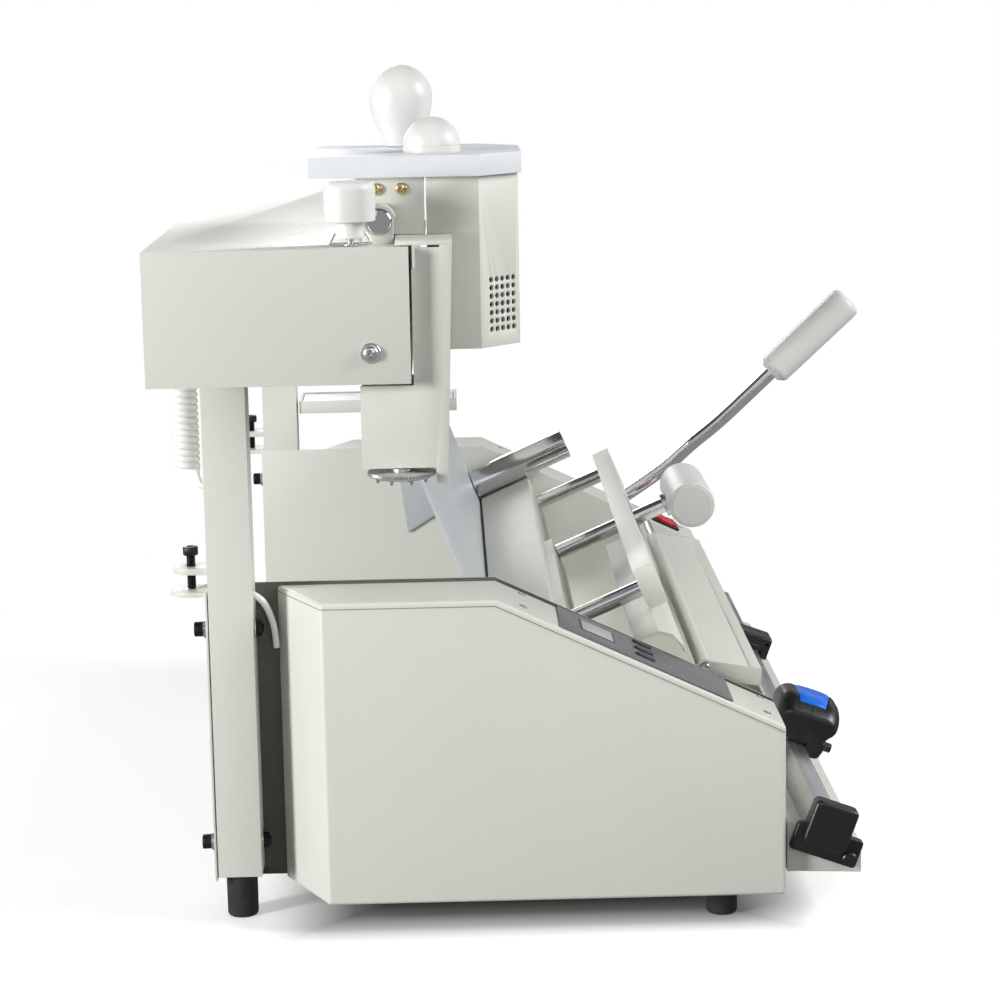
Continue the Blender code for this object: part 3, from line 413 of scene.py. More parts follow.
def turned(stations, segments=64, ring=False, place=IDENTITY):
    """A solid of stations (radius, height) about local Z. A radius may be a function of the angle,
    and a first or last radius of 0 is a point on the axis. With ring, the section is a closed loop."""
    mesh = bmesh.new()
    rows = []
    for radius, height in stations:
        if not callable(radius) and radius == 0:
            rows.append([mesh.verts.new((0, 0, height))])
            continue
        row = []
        for step in range(segments):
            angle = 2 * math.pi * step / segments
            reach = radius(angle) if callable(radius) else radius
            row.append(mesh.verts.new((reach * math.cos(angle), reach * math.sin(angle), height)))
        rows.append(row)
    pairs = list(zip(rows, rows[1:]))
    if ring:
        pairs.append((rows[-1], rows[0]))
    for lower, upper in pairs:
        for i in range(segments):
            j = (i + 1) % segments
            if len(lower) == 1:
                mesh.faces.new((lower[0], upper[j], upper[i]))
            elif len(upper) == 1:
                mesh.faces.new((lower[i], lower[j], upper[0]))
            else:
                mesh.faces.new((lower[i], lower[j], upper[j], upper[i]))
    if not ring:
        for row in (rows[0], rows[-1]):
            if len(row) > 1:
                mesh.faces.new(row)
    mesh.transform(place)
    return mesh


def sections_mesh(rows):
    """Close a row of equal rings of points into a solid, with a face at each end."""
    mesh = bmesh.new()
    rings = [[mesh.verts.new(point) for point in row] for row in rows]
    count = len(rings[0])
    for lower, upper in zip(rings, rings[1:]):
        for i in range(count):
            j = (i + 1) % count
            mesh.faces.new((lower[i], lower[j], upper[j], upper[i]))
    mesh.faces.new(rings[0])
    mesh.faces.new(rings[-1])
    return mesh


def loft(outline_a, level_a, outline_b, level_b, axis="Z"):
    """A solid between two outlines of equal count, each flat at its own level along an axis."""
    def at(point, level):
        a, b = point
        return {"X": (level, a, b), "Y": (a, level, b), "Z": (a, b, level)}[axis]

    return sections_mesh([[at(point, level) for point in outline]
                          for outline, level in ((outline_a, level_a), (outline_b, level_b))])


def prism(outline, low, high):
    return loft(outline, low, outline, high)


def block(x, y, z):
    return prism([(x[0], y[0]), (x[1], y[0]), (x[1], y[1]), (x[0], y[1])], z[0], z[1])


def arc(centre, radius, first, turn):
    """Points along an arc, from a first angle on by a turn, both in degrees."""
    steps = 12
    angles = [math.radians(first + turn * i / steps) for i in range(steps + 1)]
    return [(centre[0] + radius * math.cos(angle), centre[1] + radius * math.sin(angle)) for angle in angles]


def joined(*meshes):
    """Several closed shapes as the parts of one piece."""
    result = bmesh.new()
    for mesh in meshes:
        data = bpy.data.meshes.new("part")
        mesh.to_mesh(data)
        mesh.free()
        result.from_mesh(data)
        bpy.data.meshes.remove(data)
    return result


def carved(mesh, cutter):
    """Cut one closed shape out of another; both are used up."""
    helpers = []
    for label, shape in (("carved_body", mesh), ("carving_tool", cutter)):
        bmesh.ops.recalc_face_normals(shape, faces=shape.faces)
        data = bpy.data.meshes.new(label)
        shape.to_mesh(data)
        shape.free()
        obj = bpy.data.objects.new(label, data)
        bpy.context.scene.collection.objects.link(obj)
        helpers.append(obj)
    body, tool = helpers
    modifier = body.modifiers.new("cut", "BOOLEAN")
    modifier.object, modifier.operation, modifier.solver = tool, "DIFFERENCE", "EXACT"
    result = bmesh.new()
    evaluated = body.evaluated_get(bpy.context.evaluated_depsgraph_get())
    result.from_mesh(evaluated.to_mesh())
    evaluated.to_mesh_clear()
    for obj in helpers:
        data = obj.data
        bpy.data.objects.remove(obj)
        bpy.data.meshes.remove(data)
    return result


def curve_points(points, steps):
    """A smooth path through points, as a Catmull-Rom curve."""
    path = [Vector(point) for point in points]
    result = []
    for i in range(len(path) - 1):
        p0, p1 = path[max(i - 1, 0)], path[i]
        p2, p3 = path[i + 1], path[min(i + 2, len(path) - 1)]
        for k in range(steps):
            t = k / steps
            result.append(0.5 * (2 * p1 + (p2 - p0) * t + (2 * p0 - 5 * p1 + 4 * p2 - p3) * t * t
                                 + (3 * p1 - p0 - 3 * p2 + p3) * t * t * t))
    result.append(path[-1])
    return result


def sweep(path, radius, sides=16):
    """A round bar along a path; radius is a number or one for each point."""
    points = [Vector(point) for point in path]
    radii = radius if isinstance(radius, (list, tuple)) else [radius] * len(points)
    rings = []
    normal = None
    for i, point in enumerate(points):
        ahead = (points[min(i + 1, len(points) - 1)] - points[max(i - 1, 0)]).normalized()
        if normal is None:
            normal = ahead.orthogonal().normalized()
        normal = (normal - ahead * normal.dot(ahead)).normalized()
        side = ahead.cross(normal)
        ring = []
        for step in range(sides):
            angle = 2 * math.pi * step / sides
            ring.append(point + (normal * math.cos(angle) + side * math.sin(angle)) * radii[i])
        rings.append(ring)
    return sections_mesh(rings)


def hexagon(apothem, corner=0.12):
    """Radius of a hexagon at an angle, its corners cut a little."""
    def radius(angle):
        turn = (angle + math.pi / 6) % (math.pi / 3) - math.pi / 6
        return min(apothem / math.cos(turn), apothem * (1.1547 - corner * 0.1547))
    return radius


def cross(arm, half_width):
    """Radius of a Phillips cross at an angle."""
    def radius(angle):
        turn = abs((angle + math.pi / 4) % (math.pi / 2) - math.pi / 4)
        if turn < math.atan2(half_width, arm):
            return arm / math.cos(turn)
        return max(half_width / math.sin(turn), half_width * 1.6 if turn > 0.65 else 0)
    return radius


def knurl(radius, depth, teeth):
    return lambda angle: radius - depth * abs(math.sin(angle * teeth / 2)) ** 1.5


def pan_screw(radius, height, place, name, look, body):
    """A cross-recess pan-head screw standing on local Z = 0."""
    dome = [(radius, 0.0), (radius, height * 0.35)]
    for i in range(1, 7):
        angle = math.pi / 2 * i / 7
        dome.append((radius * (0.42 + 0.58 * math.cos(angle)), height * (0.35 + 0.65 * math.sin(angle))))
    arm = radius * 0.52
    stations = [(0, -0.4), (radius * 0.6, -0.4), (radius * 0.6, 0.0)] + dome
    stations += [(cross(arm, radius * 0.15), height), (cross(arm * 0.55, radius * 0.10), height * 0.35)]
    stations += [(0, height * 0.2)]
    return piece(name, turned(stations, 96), look, body, place)


def flat_screw(radius, place, name, look, body):
    """A countersunk cross-recess screw, flush with local Z = 0."""
    arm = radius * 0.62
    stations = [(0, -1.2), (radius * 0.55, -1.2), (radius * 0.96, 0.05), (radius * 0.92, 0.28),
                (cross(arm, radius * 0.16), 0.34), (cross(arm * 0.5, radius * 0.1), -0.7), (0, -0.8)]
    return piece(name, turned(stations, 96), look, body, place)


def washer_mesh(inner, outer, low, high):
    edge = (high - low) * 0.25
    return turned([(inner, low), (outer - edge, low), (outer, low + edge), (outer, high - edge),
                   (outer - edge, high), (inner, high)], 48, ring=True)


def threaded_rod(radius, pitch, low, high, depth):
    """A rod with a helical thread about local Z."""
    per_turn, around = 8, 36
    rows = max(2, int((high - low) / pitch * per_turn))
    rings = []
    for row in range(rows + 1):
        height = low + (high - low) * row / rows
        ends = min(height - low, high - height) / pitch
        ring = []
        for step in range(around):
            angle = 2 * math.pi * step / around
            phase = (height / pitch - angle / (2 * math.pi)) % 1.0
            flank = 1 - abs(2 * phase - 1)
            reach = radius - depth * (1 - min(1.0, flank * 1.25)) - depth * max(0.0, 1 - ends) * 0.6
            ring.append((reach * math.cos(angle), reach * math.sin(angle), height))
        rings.append(ring)
    return sections_mesh(rings)


def cap_head(radius, low, high):
    """A socket cap head with a knurled side and a hexagon recess, its mouth at the high end."""
    side = knurl(radius, 0.16, 30)
    deep = low + (high - low) * 0.45
    stations = [(0, low), (radius * 0.92, low), (side, low + 0.4), (side, high - 0.55),
                (radius * 0.93, high - 0.15), (radius * 0.86, high), (hexagon(radius * 0.52, 0), high),
                (hexagon(radius * 0.48, 0), high - 0.3), (hexagon(radius * 0.48, 0), deep), (0, deep - 0.4)]
    return turned(stations, 120)


def hex_nut(apothem, low, high, bore):
    side = hexagon(apothem)
    chamfer = 0.35
    stations = [(bore, low), (apothem * 0.98, low), (side, low + chamfer), (side, high - chamfer),
                (apothem * 0.98, high), (bore, high)]
    return turned(stations, 96, ring=True)


# ---- the CAD pieces that keep their shape ----

def dress_frame():
    # the near side plate's body paint carries a painted shade between the post and the housing
    dress("near_side_plate", "body_with_painted_shade", 0.35, 2)
    for node in ("base_pan", "far_side_plate", "beam_back_cover", "cutter_housing",
                 "inner_cover", "head_bracket"):
        dress(node, "body", 0.35, 2)
    dress("top_beam", "body", 0.75)
    for node in ("near_post", "far_post", "clamp_bar", "press_bar", "front_table", "carriage_block",
                 "movable_jaw"):
        dress(node, "body", 0.6)
    dress("carriage_cover", "body", 0.15, 2, planar=False)
    dress("carriage_cap", "cap", 0.8)
    dress("fixed_jaw", "jaw", 0.4)
    dress("glue_tray", "body", 0.5)
    dress("table_rail", "steel", 0.25, 2)
    dress("control_panel", "film", 0.2, 2)
    dress("switch_bezel", "black", 0.4)


# ---- turned and moulded pieces that stand for plainer CAD solids ----

def build_housings():
    """The side boxes with the broad rounded bends of their sheet, and the seam under the bend."""
    side_view = [(FRONT_Y, HOUSING_LOW), (REAR_Y, HOUSING_LOW), (REAR_Y, HOUSING_TOP),
                 (SLOPE_TOP_Y, HOUSING_TOP), (FRONT_Y, NOSE_TOP)]
    inner_view = [(REAR_INNER_Y, z) if y == REAR_Y else (y, z) for y, z in side_view]
    drop = 3.4
    for label, side in SIDES:
        inner, outer = side * HOUSING_INNER, side * HOUSING_OUTER
        piece(f"{label}_box", loft(side_view, outer, inner_view, inner, "X"), "body", "base", IDENTITY,
              (f"{label}_housing",), "body_paint", 2.0, 5)
        high, nose = HOUSING_TOP - drop, NOSE_TOP - drop
        seam = [(inner + side * 0.5, REAR_INNER_Y - 0.2, high), (outer - side * 0.8, REAR_Y + 0.3, high),
                (outer, REAR_Y - 1.2, high), (outer, SLOPE_TOP_Y + 0.8, high), (outer, FRONT_Y + 0.6, nose)]
        piece(f"{label}_box_seam", sweep(seam, 0.28, 8), "seam", "base", slot="body_paint")


def rod_piece(name, look, body, start, end, radius, chamfer=0.6, base=IDENTITY, **extra):
    """A round bar from one point to another, with small chamfers."""
    direction = Vector(end) - Vector(start)
    length = direction.length
    profile = [(0, 0), (radius - chamfer, 0), (radius, chamfer), (radius, length - chamfer),
               (radius - chamfer, length), (0, length)]
    return piece(name, turned(profile, 72), look, body, along(start, direction, base), **extra)


def build_egg_grip():
    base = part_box("egg_handle")[0].z / MM
    neck, waist, swell, crown = 9.0, 26.5, 8.6, 18.0
    profile = [(0, base), (neck - 0.4, base), (neck, base + 0.5)]
    steps = 40
    for i in range(1, steps + 1):
        t = i / steps
        profile.append((neck + swell * math.sin(t * math.pi / 2) ** 1.15, base + 0.5 + waist * t))
    shoulder = base + 0.5 + waist
    profile += quarter_curve(neck + swell, shoulder, crown, 24) + [(0, shoulder + crown)]
    place = Matrix.Translation((-210.0, 38.5, 0))
    piece("egg_grip", turned(profile, 96), "white", "carriage", place, ("egg_handle",), "white_plastic")


def build_dome_push():
    """The domed push button: a thin stem, a skirt with a fine groove, and the dome."""
    low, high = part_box("dome_button")
    base, stem, skirt, skirt_low, dome = low.z / MM, 5.0, 15.4, 437.2, 15.0
    top = high.z / MM - dome
    groove = skirt - 0.25
    profile = [(0, base), (stem - 0.4, base), (stem, base + 0.4), (stem, skirt_low),
               (skirt - 0.4, skirt_low), (skirt, skirt_low + 0.4),
               (skirt, top - 0.8), (groove, top - 0.55), (groove, top - 0.25), (skirt, top)]
    profile += quarter_curve(skirt, top, dome, 26) + [(0, top + dome)]
    place = Matrix.Translation((-268.0, 21.5, 0))
    piece("dome_push", turned(profile, 96), "white", "dome", place, ("dome_button",), "white_plastic")


def build_top_knob():
    """The beam's lock knob, with its stud and a bent wire on either side."""
    x, y = -332.0, 64.5
    place = Matrix.Translation((x, y, 0))
    profile = fillet([(0, 398.2), (6.4, 398.2), (6.9, 399.0), (6.9, 407.0), (13.35, 407.0), (13.6, 424.6),
                      (12.2, 427.4), (0, 427.4)], [0, 0.5, 0.5, 0.6, 0.8, 2.2, 3.0, 0], 6)
    piece("lock_knob", turned(profile, 96), "white", "top_knob", place, ("beam_knob",), "white_plastic")
    stud = [(0, 394.3), (4.2, 394.3), (4.5, 394.6), (4.5, 395.2), (4.2, 395.4), (1.8, 395.4), (1.8, 397.9),
            (0, 397.9)]
    meshes = [turned(stud, 48, place=place)]
    wire = ((1.0, 395.1), (6.0, 395.2), (10.5, 395.6), (9.6, 398.0), (7.9, 401.0))
    for side in (-1, 1):
        path = [(x, y + side * reach, height) for reach, height in wire]
        meshes.append(sweep(curve_points(path, 8), 0.8, 12))
    piece("knob_stud", joined(*meshes), "zinc", "base", IDENTITY, ("knob_stand",), "steel")


def build_shafts():
    rod_piece("long_shaft", "chrome", "base", (-316.5, 50, 405), (335, 50, 405), 7.0, 0.8,
              stands_for=("guide_shaft",), slot="chrome")
    for name, x in (("near", -190.0), ("far", 190.0)):
        rod_piece(f"{name}_clamp_rod", "chrome_up", "base", (x, -1.0, SCREW_UP), (x, -102.5, SCREW_UP),
                  5.0, 0.5, CLAMP, stands_for=(f"{name}_guide_rod",), slot="chrome")
    section = [(9.2, 0), (10.4, 0), (10.7, 0.3), (10.7, 73.3), (10.4, 73.6), (9.5, 73.6), (9.2, 73.3)]
    tube = turned(section, 96, ring=True)
    piece("stop_tube", tube, "chrome_up", "base", along((212, -2.4, 11.5), (0, -1, 0), CLAMP),
          ("side_stop_tube",), "chrome")
    rod_piece("cover_shaft", "steel", "base", (-225.9, -107, -67.5), (225.9, -107, -67.5), 2.6, 0.3, CLAMP,
              stands_for=("press_shaft",), slot="steel")


def build_clamp_screw():
    start, end = 46.8, 125.4
    rod_piece("lead_screw", "chrome_up", "screw", (0, -start, SCREW_UP), (0, -end, SCREW_UP), 5.0, 0.6, CLAMP,
              stands_for=("clamp_screw",), slot="chrome")
    half, radius, forward = 39.5, 14.8, 140.5
    profile = fillet([(0, -half), (12.6, -half), (12.7, -half + 0.4), (14.2, -half + 0.4),
                      (radius, -half + 2.5), (radius, half - 2.5), (14.0, half), (0, half)],
                     [0, 0.3, 0.3, 1.4, 2.2, 2.2, 2.0, 0], 6)
    grip = turned(profile, 96, place=along((0, -forward, SCREW_UP), (1, 0, 0)))
    collar = turned([(0, 0), (7.6, 0), (8.0, 0.4), (8.0, 2.4), (0, 2.4)], 64,
                    place=along((0, -123.6, SCREW_UP), (0, -1, 0)))
    piece("t_grip", grip, "white", "screw", CLAMP, ("t_handle",), "white_plastic")
    piece("t_grip_collar", collar, "zinc", "screw", CLAMP, slot="steel")


def build_lever():
    x, y, z = 292.5, -95.0, 125.0
    path = [(x, y - 6, z + 6.0), (x, -120, 141.5), (x, -150, 162), (x, -172, 181), (x, -197, 201.5),
            (x, -245, 246.5)]
    bar = sweep(curve_points(path, 8), 5.1, 32)
    section = [(4.3, -7.0), (10.6, -7.0), (11.0, -6.6), (11.0, 6.6), (10.6, 7.0), (4.3, 7.0)]
    hub = turned(section, 64, ring=True, place=along((292.6, y, z), (1, 0, 0)))
    piece("lever_bar", joined(bar, hub), "chrome_bent", "lever", IDENTITY, ("lever_arm",), "chrome")
    pin = [(0, 280.3), (13.6, 280.3), (14.0, 280.7), (14.0, 284.8), (13.6, 285.2), (4.0, 285.2), (4.0, 300.2),
           (7.2, 300.2), (7.5, 300.5), (7.5, 302.7), (7.2, 303.0), (0, 303.0)]
    piece("lever_pin", turned(pin, 64, place=along((0, y, z), (1, 0, 0))), "zinc", "base", IDENTITY,
          ("lever_pivot",), "steel")
    start = Vector((x, -232.5, 234.8))
    direction = Vector((0, -57, 53)).normalized()
    socket = 25.0
    profile = fillet([(5.4, socket), (5.4, 0.0), (7.5, 0.0), (12.5, 4.2), (12.7, 76.0), (12.0, 80.0),
                      (8.0, 81.5), (0, 81.5)], [0, 0.3, 0.8, 2.6, 3.0, 3.0, 2.0, 0], 6)
    grip = turned([(0, socket)] + profile, 96, place=along(start, direction))
    piece("hand_grip", grip, "white", "lever", IDENTITY, ("lever_grip",), "white_plastic")


def build_feet():
    for row, x, y, top in (("rear", POST_X, POST_Y, 25.7), ("front", 256, -136, 16.7)):
        profile = fillet([(0, 0), (8.2, 0), (8.9, 1.4), (9.0, top - 1.0), (8.6, top), (0, top)],
                         [0, 1.0, 1.0, 0.6, 0.5, 0], 4)
        for label, side in SIDES:
            name = f"{label}_{row}_foot"
            place = Matrix.Translation((side * x, y, 0))
            piece(f"{name}_pad", turned(profile, 72), "rubber", "base", place, (name,), "rubber")


def build_post_fasteners():
    """The jack screws between the posts' ears, and the bolts through the posts with their washers."""
    rod, pitch, depth, head = 2.5, 0.8, 0.32, 4.25
    for label, side in SIDES:
        x = side * POST_X
        jack = joined(threaded_rod(rod, pitch, 193.9, 213.5, depth), cap_head(head, 213.3, 218.2))
        piece(f"{label}_jack", jack, "oxide", "base", Matrix.Translation((x, 163, 0)),
              (f"{label}_jack_screw",), "black_oxide")
        for height, z in (("lower", 44.0), ("upper", 170.0)):
            bolt = joined(threaded_rod(rod, pitch, 123.1, 157.6, depth), cap_head(head, 157.4, 162.6),
                          hex_nut(4.3, 124.2, 127.4, 2.2))
            place = along((x, 0, z), (0, 1, 0))
            piece(f"{label}_{height}_cap_bolt", bolt, "oxide", "base", place, (f"{label}_{height}_bolt",),
                  "black_oxide")
            plate = joined(washer_mesh(2.7, 5.2, 155.1, 157.3), washer_mesh(2.7, 5.9, 127.4, 128.1))
            piece(f"{label}_{height}_washers", plate, "zinc", "base", place, slot="steel")


def build_cable():
    """The coiled lead behind the near post; its tail runs down inside the post and out in front."""
    x, y = -POST_X, 163.0
    turns, per_turn, low, high = 16, 22, 264.5, 323.2
    reach, strand = 5.65, 1.9
    path = [(x, y - 1.5, 329.5), (x + 0.5, y - 3.5, 326.5)]
    for i in range(turns * per_turn + 1):
        angle = -math.pi / 2 + 2 * math.pi * i / per_turn
        height = high - (high - low) * i / (turns * per_turn)
        path.append((x + reach * math.cos(angle), y + reach * math.sin(angle), height))
    tail = [(0, y - reach, low), (1.0, 158.0, 259.5), (0, 156.0, 254.0), (0, 150.5, 251.0), (0, 143.5, 247.0),
            (0, POST_Y, 239.0), (0, POST_Y, 205.0), (0, 138.5, 196.5), (0, 134.0, 191.5), (0, 127.5, 188.8),
            (0.5, 122.8, 184.5), (2.5, 119.6, 177.0), (4.5, 117.5, 168.0), (6.0, 116.6, 157.0)]
    tail = [(x + out, depth, height) for out, depth, height in tail]
    path += [tuple(point) for point in curve_points(tail, 10)[1:]]
    piece("coiled_cable", sweep(path, strand, 12), "cable", "base", IDENTITY, ("spiral_cable",),
          "white_plastic")


def build_cutter():
    """The toothed wheel, with its blunt pins below."""
    radius, teeth, pins, pin_ring = 18.2, 60, 8, 13.6

    def edge(reach):
        return lambda angle: reach - 0.7 * ((angle * teeth / (2 * math.pi)) % 1.0)

    disc = [(0, 270.8), (3.7, 270.8), (4.0, 271.1), (4.0, 272.0), (15.0, 272.2), (edge(radius - 0.4), 273.5),
            (edge(radius), 273.9), (edge(radius), 275.4), (radius - 1.2, 275.7), (6.0, 276.3), (6.0, 277.3),
            (3.5, 277.4), (3.5, 278.7), (0, 278.7)]
    pin = [(0, 270.0), (0.5, 270.0), (0.9, 270.7), (0.9, 272.4), (0, 272.4)]
    wheel = [turned(disc, 240)]
    for step in range(pins):
        angle = math.radians(22 + 360 / pins * step)
        place = Matrix.Translation((pin_ring * math.cos(angle), pin_ring * math.sin(angle), 0))
        wheel.append(turned(pin, 16, place=place))
    piece("cutter_wheel", joined(*wheel), "steel", "cutter", Matrix.Translation((-334.0, 40.7, 0)),
          ("cutter_disc",), "steel")


def build_motor():
    """The drive motor inside the carriage cover."""
    motor = fillet([(0, 341), (17.5, 341), (17.5, 398), (14, 402), (14, 410), (0, 410)],
                   [0, 1, 1.5, 1.5, 1, 0], 4)
    piece("drive_motor", turned(motor, 72), "zinc", "carriage", Matrix.Translation((-249, 3, 0)),
          ("carriage_motor",), "steel")


def build_tray_lining():
    lining = block((233.3, 274.7), (11.3, 123.7), (227.0, 228.6))
    piece("tray_lining", lining, "cap", "base", slot="cap_paint", bevel=0.4)


def moulded_block(x, forward, up, radius, dome=2.2):
    """A block in a tilted frame, its four long edges along X rounded and its ends domed."""
    a0, a1, b0, b1 = -forward[1], -forward[0], up[0], up[1]
    rows = []
    depth = min(dome, (x[1] - x[0]) / 4)
    steps = 6
    angles = [math.pi / 2 * i / steps for i in range(steps + 1)]
    ends = [(depth * (1 - math.cos(angle)), depth * (1 - math.sin(angle))) for angle in angles]
    levels = [(x[0] + run, shrink) for run, shrink in ends]
    levels += [(x[1] - run, shrink) for run, shrink in reversed(ends)]
    for level, shrink in levels:
        corners = [(a0 + shrink, b0 + shrink), (a1 - shrink, b0 + shrink),
                   (a1 - shrink, b1 - shrink), (a0 + shrink, b1 - shrink)]
        outline = fillet(corners, radius, 6, closed=True)
        rows.append([(level, a, b) for a, b in outline])
    return sections_mesh(rows)


def build_stops():
    near = joined(moulded_block((-282, -270.3), (9.7, 35.5), (-6.8, 19.7), 3.2),
                  moulded_block((-276, -270.3), (5.3, 45), (-13.8, 3.0), 2.4, 1.0))
    button = turned([(0, 0), (4.2, 0), (4.2, 4.4), (3.5, 5.0), (0, 5.0)], 48,
                    place=along((-275.2, -39.6, -8.4), (-1, 0, 0)))
    piece("near_stop", joined(near, button), "black", "base", TABLE, ("near_stop_block",), "black_plastic")
    saddle = joined(moulded_block((85, 110), (-1.5, 29), (20.2, 28.4), 2.0),
                    moulded_block((85, 110), (22.8, 29.0), (12.6, 27.0), 1.2),
                    block((86, 109), (-26, -9.6), (18.0, 22.0)))
    piece("far_stop", saddle, "black", "base", TABLE, ("far_stop_block",), "black_plastic")


def guide_ring(back, front, top):
    """One section of the guide, with its front leg; the shoulders are quarter circles."""
    corner = 0.22 * (front - back)
    ring = (arc((-front + corner, top - corner), corner, 180, -90)
            + arc((-back - corner, top - corner), corner, 90, -90))
    inner = -21.7
    lower = fillet([(-back - 0.4, 20.2), (inner, 20.2), (inner, 12.0), (-front + 5.2, 12.0),
                    (-front + 2.4, 23.0)], [1.2, 0.3, 0.6, 1.6, 3.0], 5, closed=True)
    return ring + lower


def rounding(share):
    """Height of a quarter circle, from 0 at its foot to 1 at its crown."""
    share = min(1.0, max(0.0, share))
    return math.sqrt(1 - (1 - share) ** 2)


def guide_size(x):
    """Back, front and top of the guide's section at x: a long slope near, a short one far."""
    low, high = GUIDE_ENDS
    near, far = x - low, high - x
    spread = min(rounding(near / 9.0), rounding(far / 8.0))
    slope = 9.2 * (1 - (1 - min(1.0, near / 20.0)) ** 2.2)
    top = min(35.2 + 1.6 * rounding(near / 1.6) + slope, 40.8 + 5.2 * rounding(far / 8.0))
    return 0.6 - 2.2 * spread, 34.2 + 4.0 * spread, top


def build_guide():
    low, high = GUIDE_ENDS
    near = [low + run for run in (0, 0.12, 0.4, 0.8, 1.2, 1.6, 2.6, 3.8, 5.2, 7, 9, 11.5, 14.5, 17.5, 20)]
    far = [high - run for run in (8, 6.2, 4.6, 3.2, 2.0, 1.1, 0.45, 0.1, 0)]
    body = sections_mesh([[(x, a, b) for a, b in guide_ring(*guide_size(x))] for x in near + far])
    button_near, button_far, gap = low + 7.0, high - 4.5, 0.4
    floor, above = 32.0, 54.0
    pocket = loft([(-9.5, floor), (-9.5, above), (-27.4, above), (-27.4, floor)], button_near - gap,
                  [(-7.4, floor), (-7.4, above), (-32.6, above), (-32.6, floor)], button_far + gap, "X")
    slider = block((low + 1.5, high - 1.5), (-20.8, -9.6), (18.0, 21.5))
    piece("guide_body", joined(carved(body, pocket), slider), "black", "guide", TABLE, ("side_guide",),
          "black_plastic")
    seam = [(low - 0.02, -20.3, 21.2), (low - 0.02, -19.2, 34.8), (low + 1.4, -18.9, 38.2),
            (low + 4.0, -18.6, 40.6), (low + 6.3, -18.4, 42.3)]
    piece("guide_seam", sweep(curve_points(seam, 6), 0.22, 8), "rubber", "guide", TABLE, slot="black_plastic")
    build_guide_button(button_near, button_far)
    x = (low + high) / 2
    knob = fillet([(0, 36.4), (2.7, 36.4), (3.0, 36.8), (3.0, 40.6), (2.5, 41.0), (0, 41.0)],
                  [0, 0.3, 0.3, 0.5, 0.5, 0], 4)
    ridged = [(knurl(radius, 0.18, 16) if 36.7 < height < 40.7 and radius > 2.9 else radius, height)
              for radius, height in knob]
    place = Matrix(((1, 0, 0, x), (0, 0, -1, 0), (0, 1, 0, 17.2), (0, 0, 0, 1)))
    piece("lock_screw", turned(ridged, 108), "black", "guide_lock", TABLE @ place, ("guide_lock_knob",),
          "black_plastic")


def build_guide_button(near, far):
    """The blue push button: its top stands just proud of the guide's dome and follows it."""
    rows = []
    steps = 16
    for i in range(steps + 1):
        share = i / steps
        x = near + (far - near) * share
        crest = guide_size(x)[2] + 0.7
        back, front = 9.9 - 2.1 * share, 27.0 + 5.2 * share
        row = [(x, -back, 36.0)]
        for k in range(13):
            side = k / 12
            row.append((x, -back - (front - back) * side, crest - 1.3 * (2 * side - 1) ** 4))
        rows.append(row + [(x, -front, 36.0)])
    piece("guide_push", sections_mesh(rows), "blue", "guide_release", TABLE, ("guide_button",),
          "blue_plastic", 0.5, 3)


def build_panel_details():
    """Window and oval keys of the membrane panel; x is from the slope's middle line."""
    outer = fillet([(-10.5, -73.0), (13.5, -73.0), (13.5, -51.5), (-10.5, -51.5)], 1.2, 4, closed=True)
    inner = fillet([(-9.3, -71.8), (12.3, -71.8), (12.3, -52.7), (-9.3, -52.7)], 0.8, 4, closed=True)
    piece("display_frame", prism(outer, 1.12, 1.40), "film_dark", "base", NEAR_SLOPE, slot="panel_film")
    piece("display_window", prism(inner, 1.2, 1.55), "film_light", "base", NEAR_SLOPE, slot="panel_film",
          bevel=0.1, segments=2)
    half, radius = (KEY_LENGTH - KEY_WIDTH) / 2, KEY_WIDTH / 2
    for name, x in KEYS:
        outline = (arc((x, -KEY_DOWN + half), radius, 0, 180)
                   + arc((x, -KEY_DOWN - half), radius, 180, 180))
        piece(f"{name}_key", prism(outline, 1.3, 2.4), "film_dark", f"button_{name}", NEAR_SLOPE,
              (f"{name}_button",), "panel_film", bevel=0.5, segments=4)


def build_rocker():
    dress("power_switch", "red", 0.5, 3)


def build_screws():
    """Small fasteners that show on the outside."""
    beam_low, beam_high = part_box("top_beam")
    near_x, far_x = beam_low.x / MM - SHIFT.x, beam_high.x / MM - SHIFT.x
    for label, x, direction in (("near", near_x, -1), ("far", far_x, 1)):
        place = along((x, 55, 340), (direction, 0, 0))
        piece(f"{label}_beam_washer", washer_mesh(2.4, 5.3, 0.05, 1.0), "zinc", "base", place, slot="steel")
        pan_screw(4.1, 2.6, place @ Matrix.Translation((0, 0, 0.9)), f"{label}_beam_screw", "zinc", "base")
    for index, x in enumerate((-300, 0, 300)):
        pan_screw(2.6, 1.6, along((x, 172, 360), (0, 1, 0)), f"back_cover_screw_{index + 1}", "zinc", "base")
    for index, y in enumerate((51.0, 38.0)):
        place = along((-300, y, 421), (-1, 0, 0))
        pan_screw(3.3, 1.9, place, f"block_screw_{index + 1}", "brass", "carriage")
    for label, base, side in (("near", NEAR_SLOPE, 1), ("far", FAR_SLOPE, -1)):
        for index, (x, y) in enumerate(((19, -16.5), (-12.5, -16.5), (22, -168), (-12, -168))):
            flat_screw(2.6, base @ Matrix.Translation((side * x, y, 0)), f"{label}_slope_screw_{index + 1}",
                       "zinc", "base")


# ---- stage: floor, light, camera ----

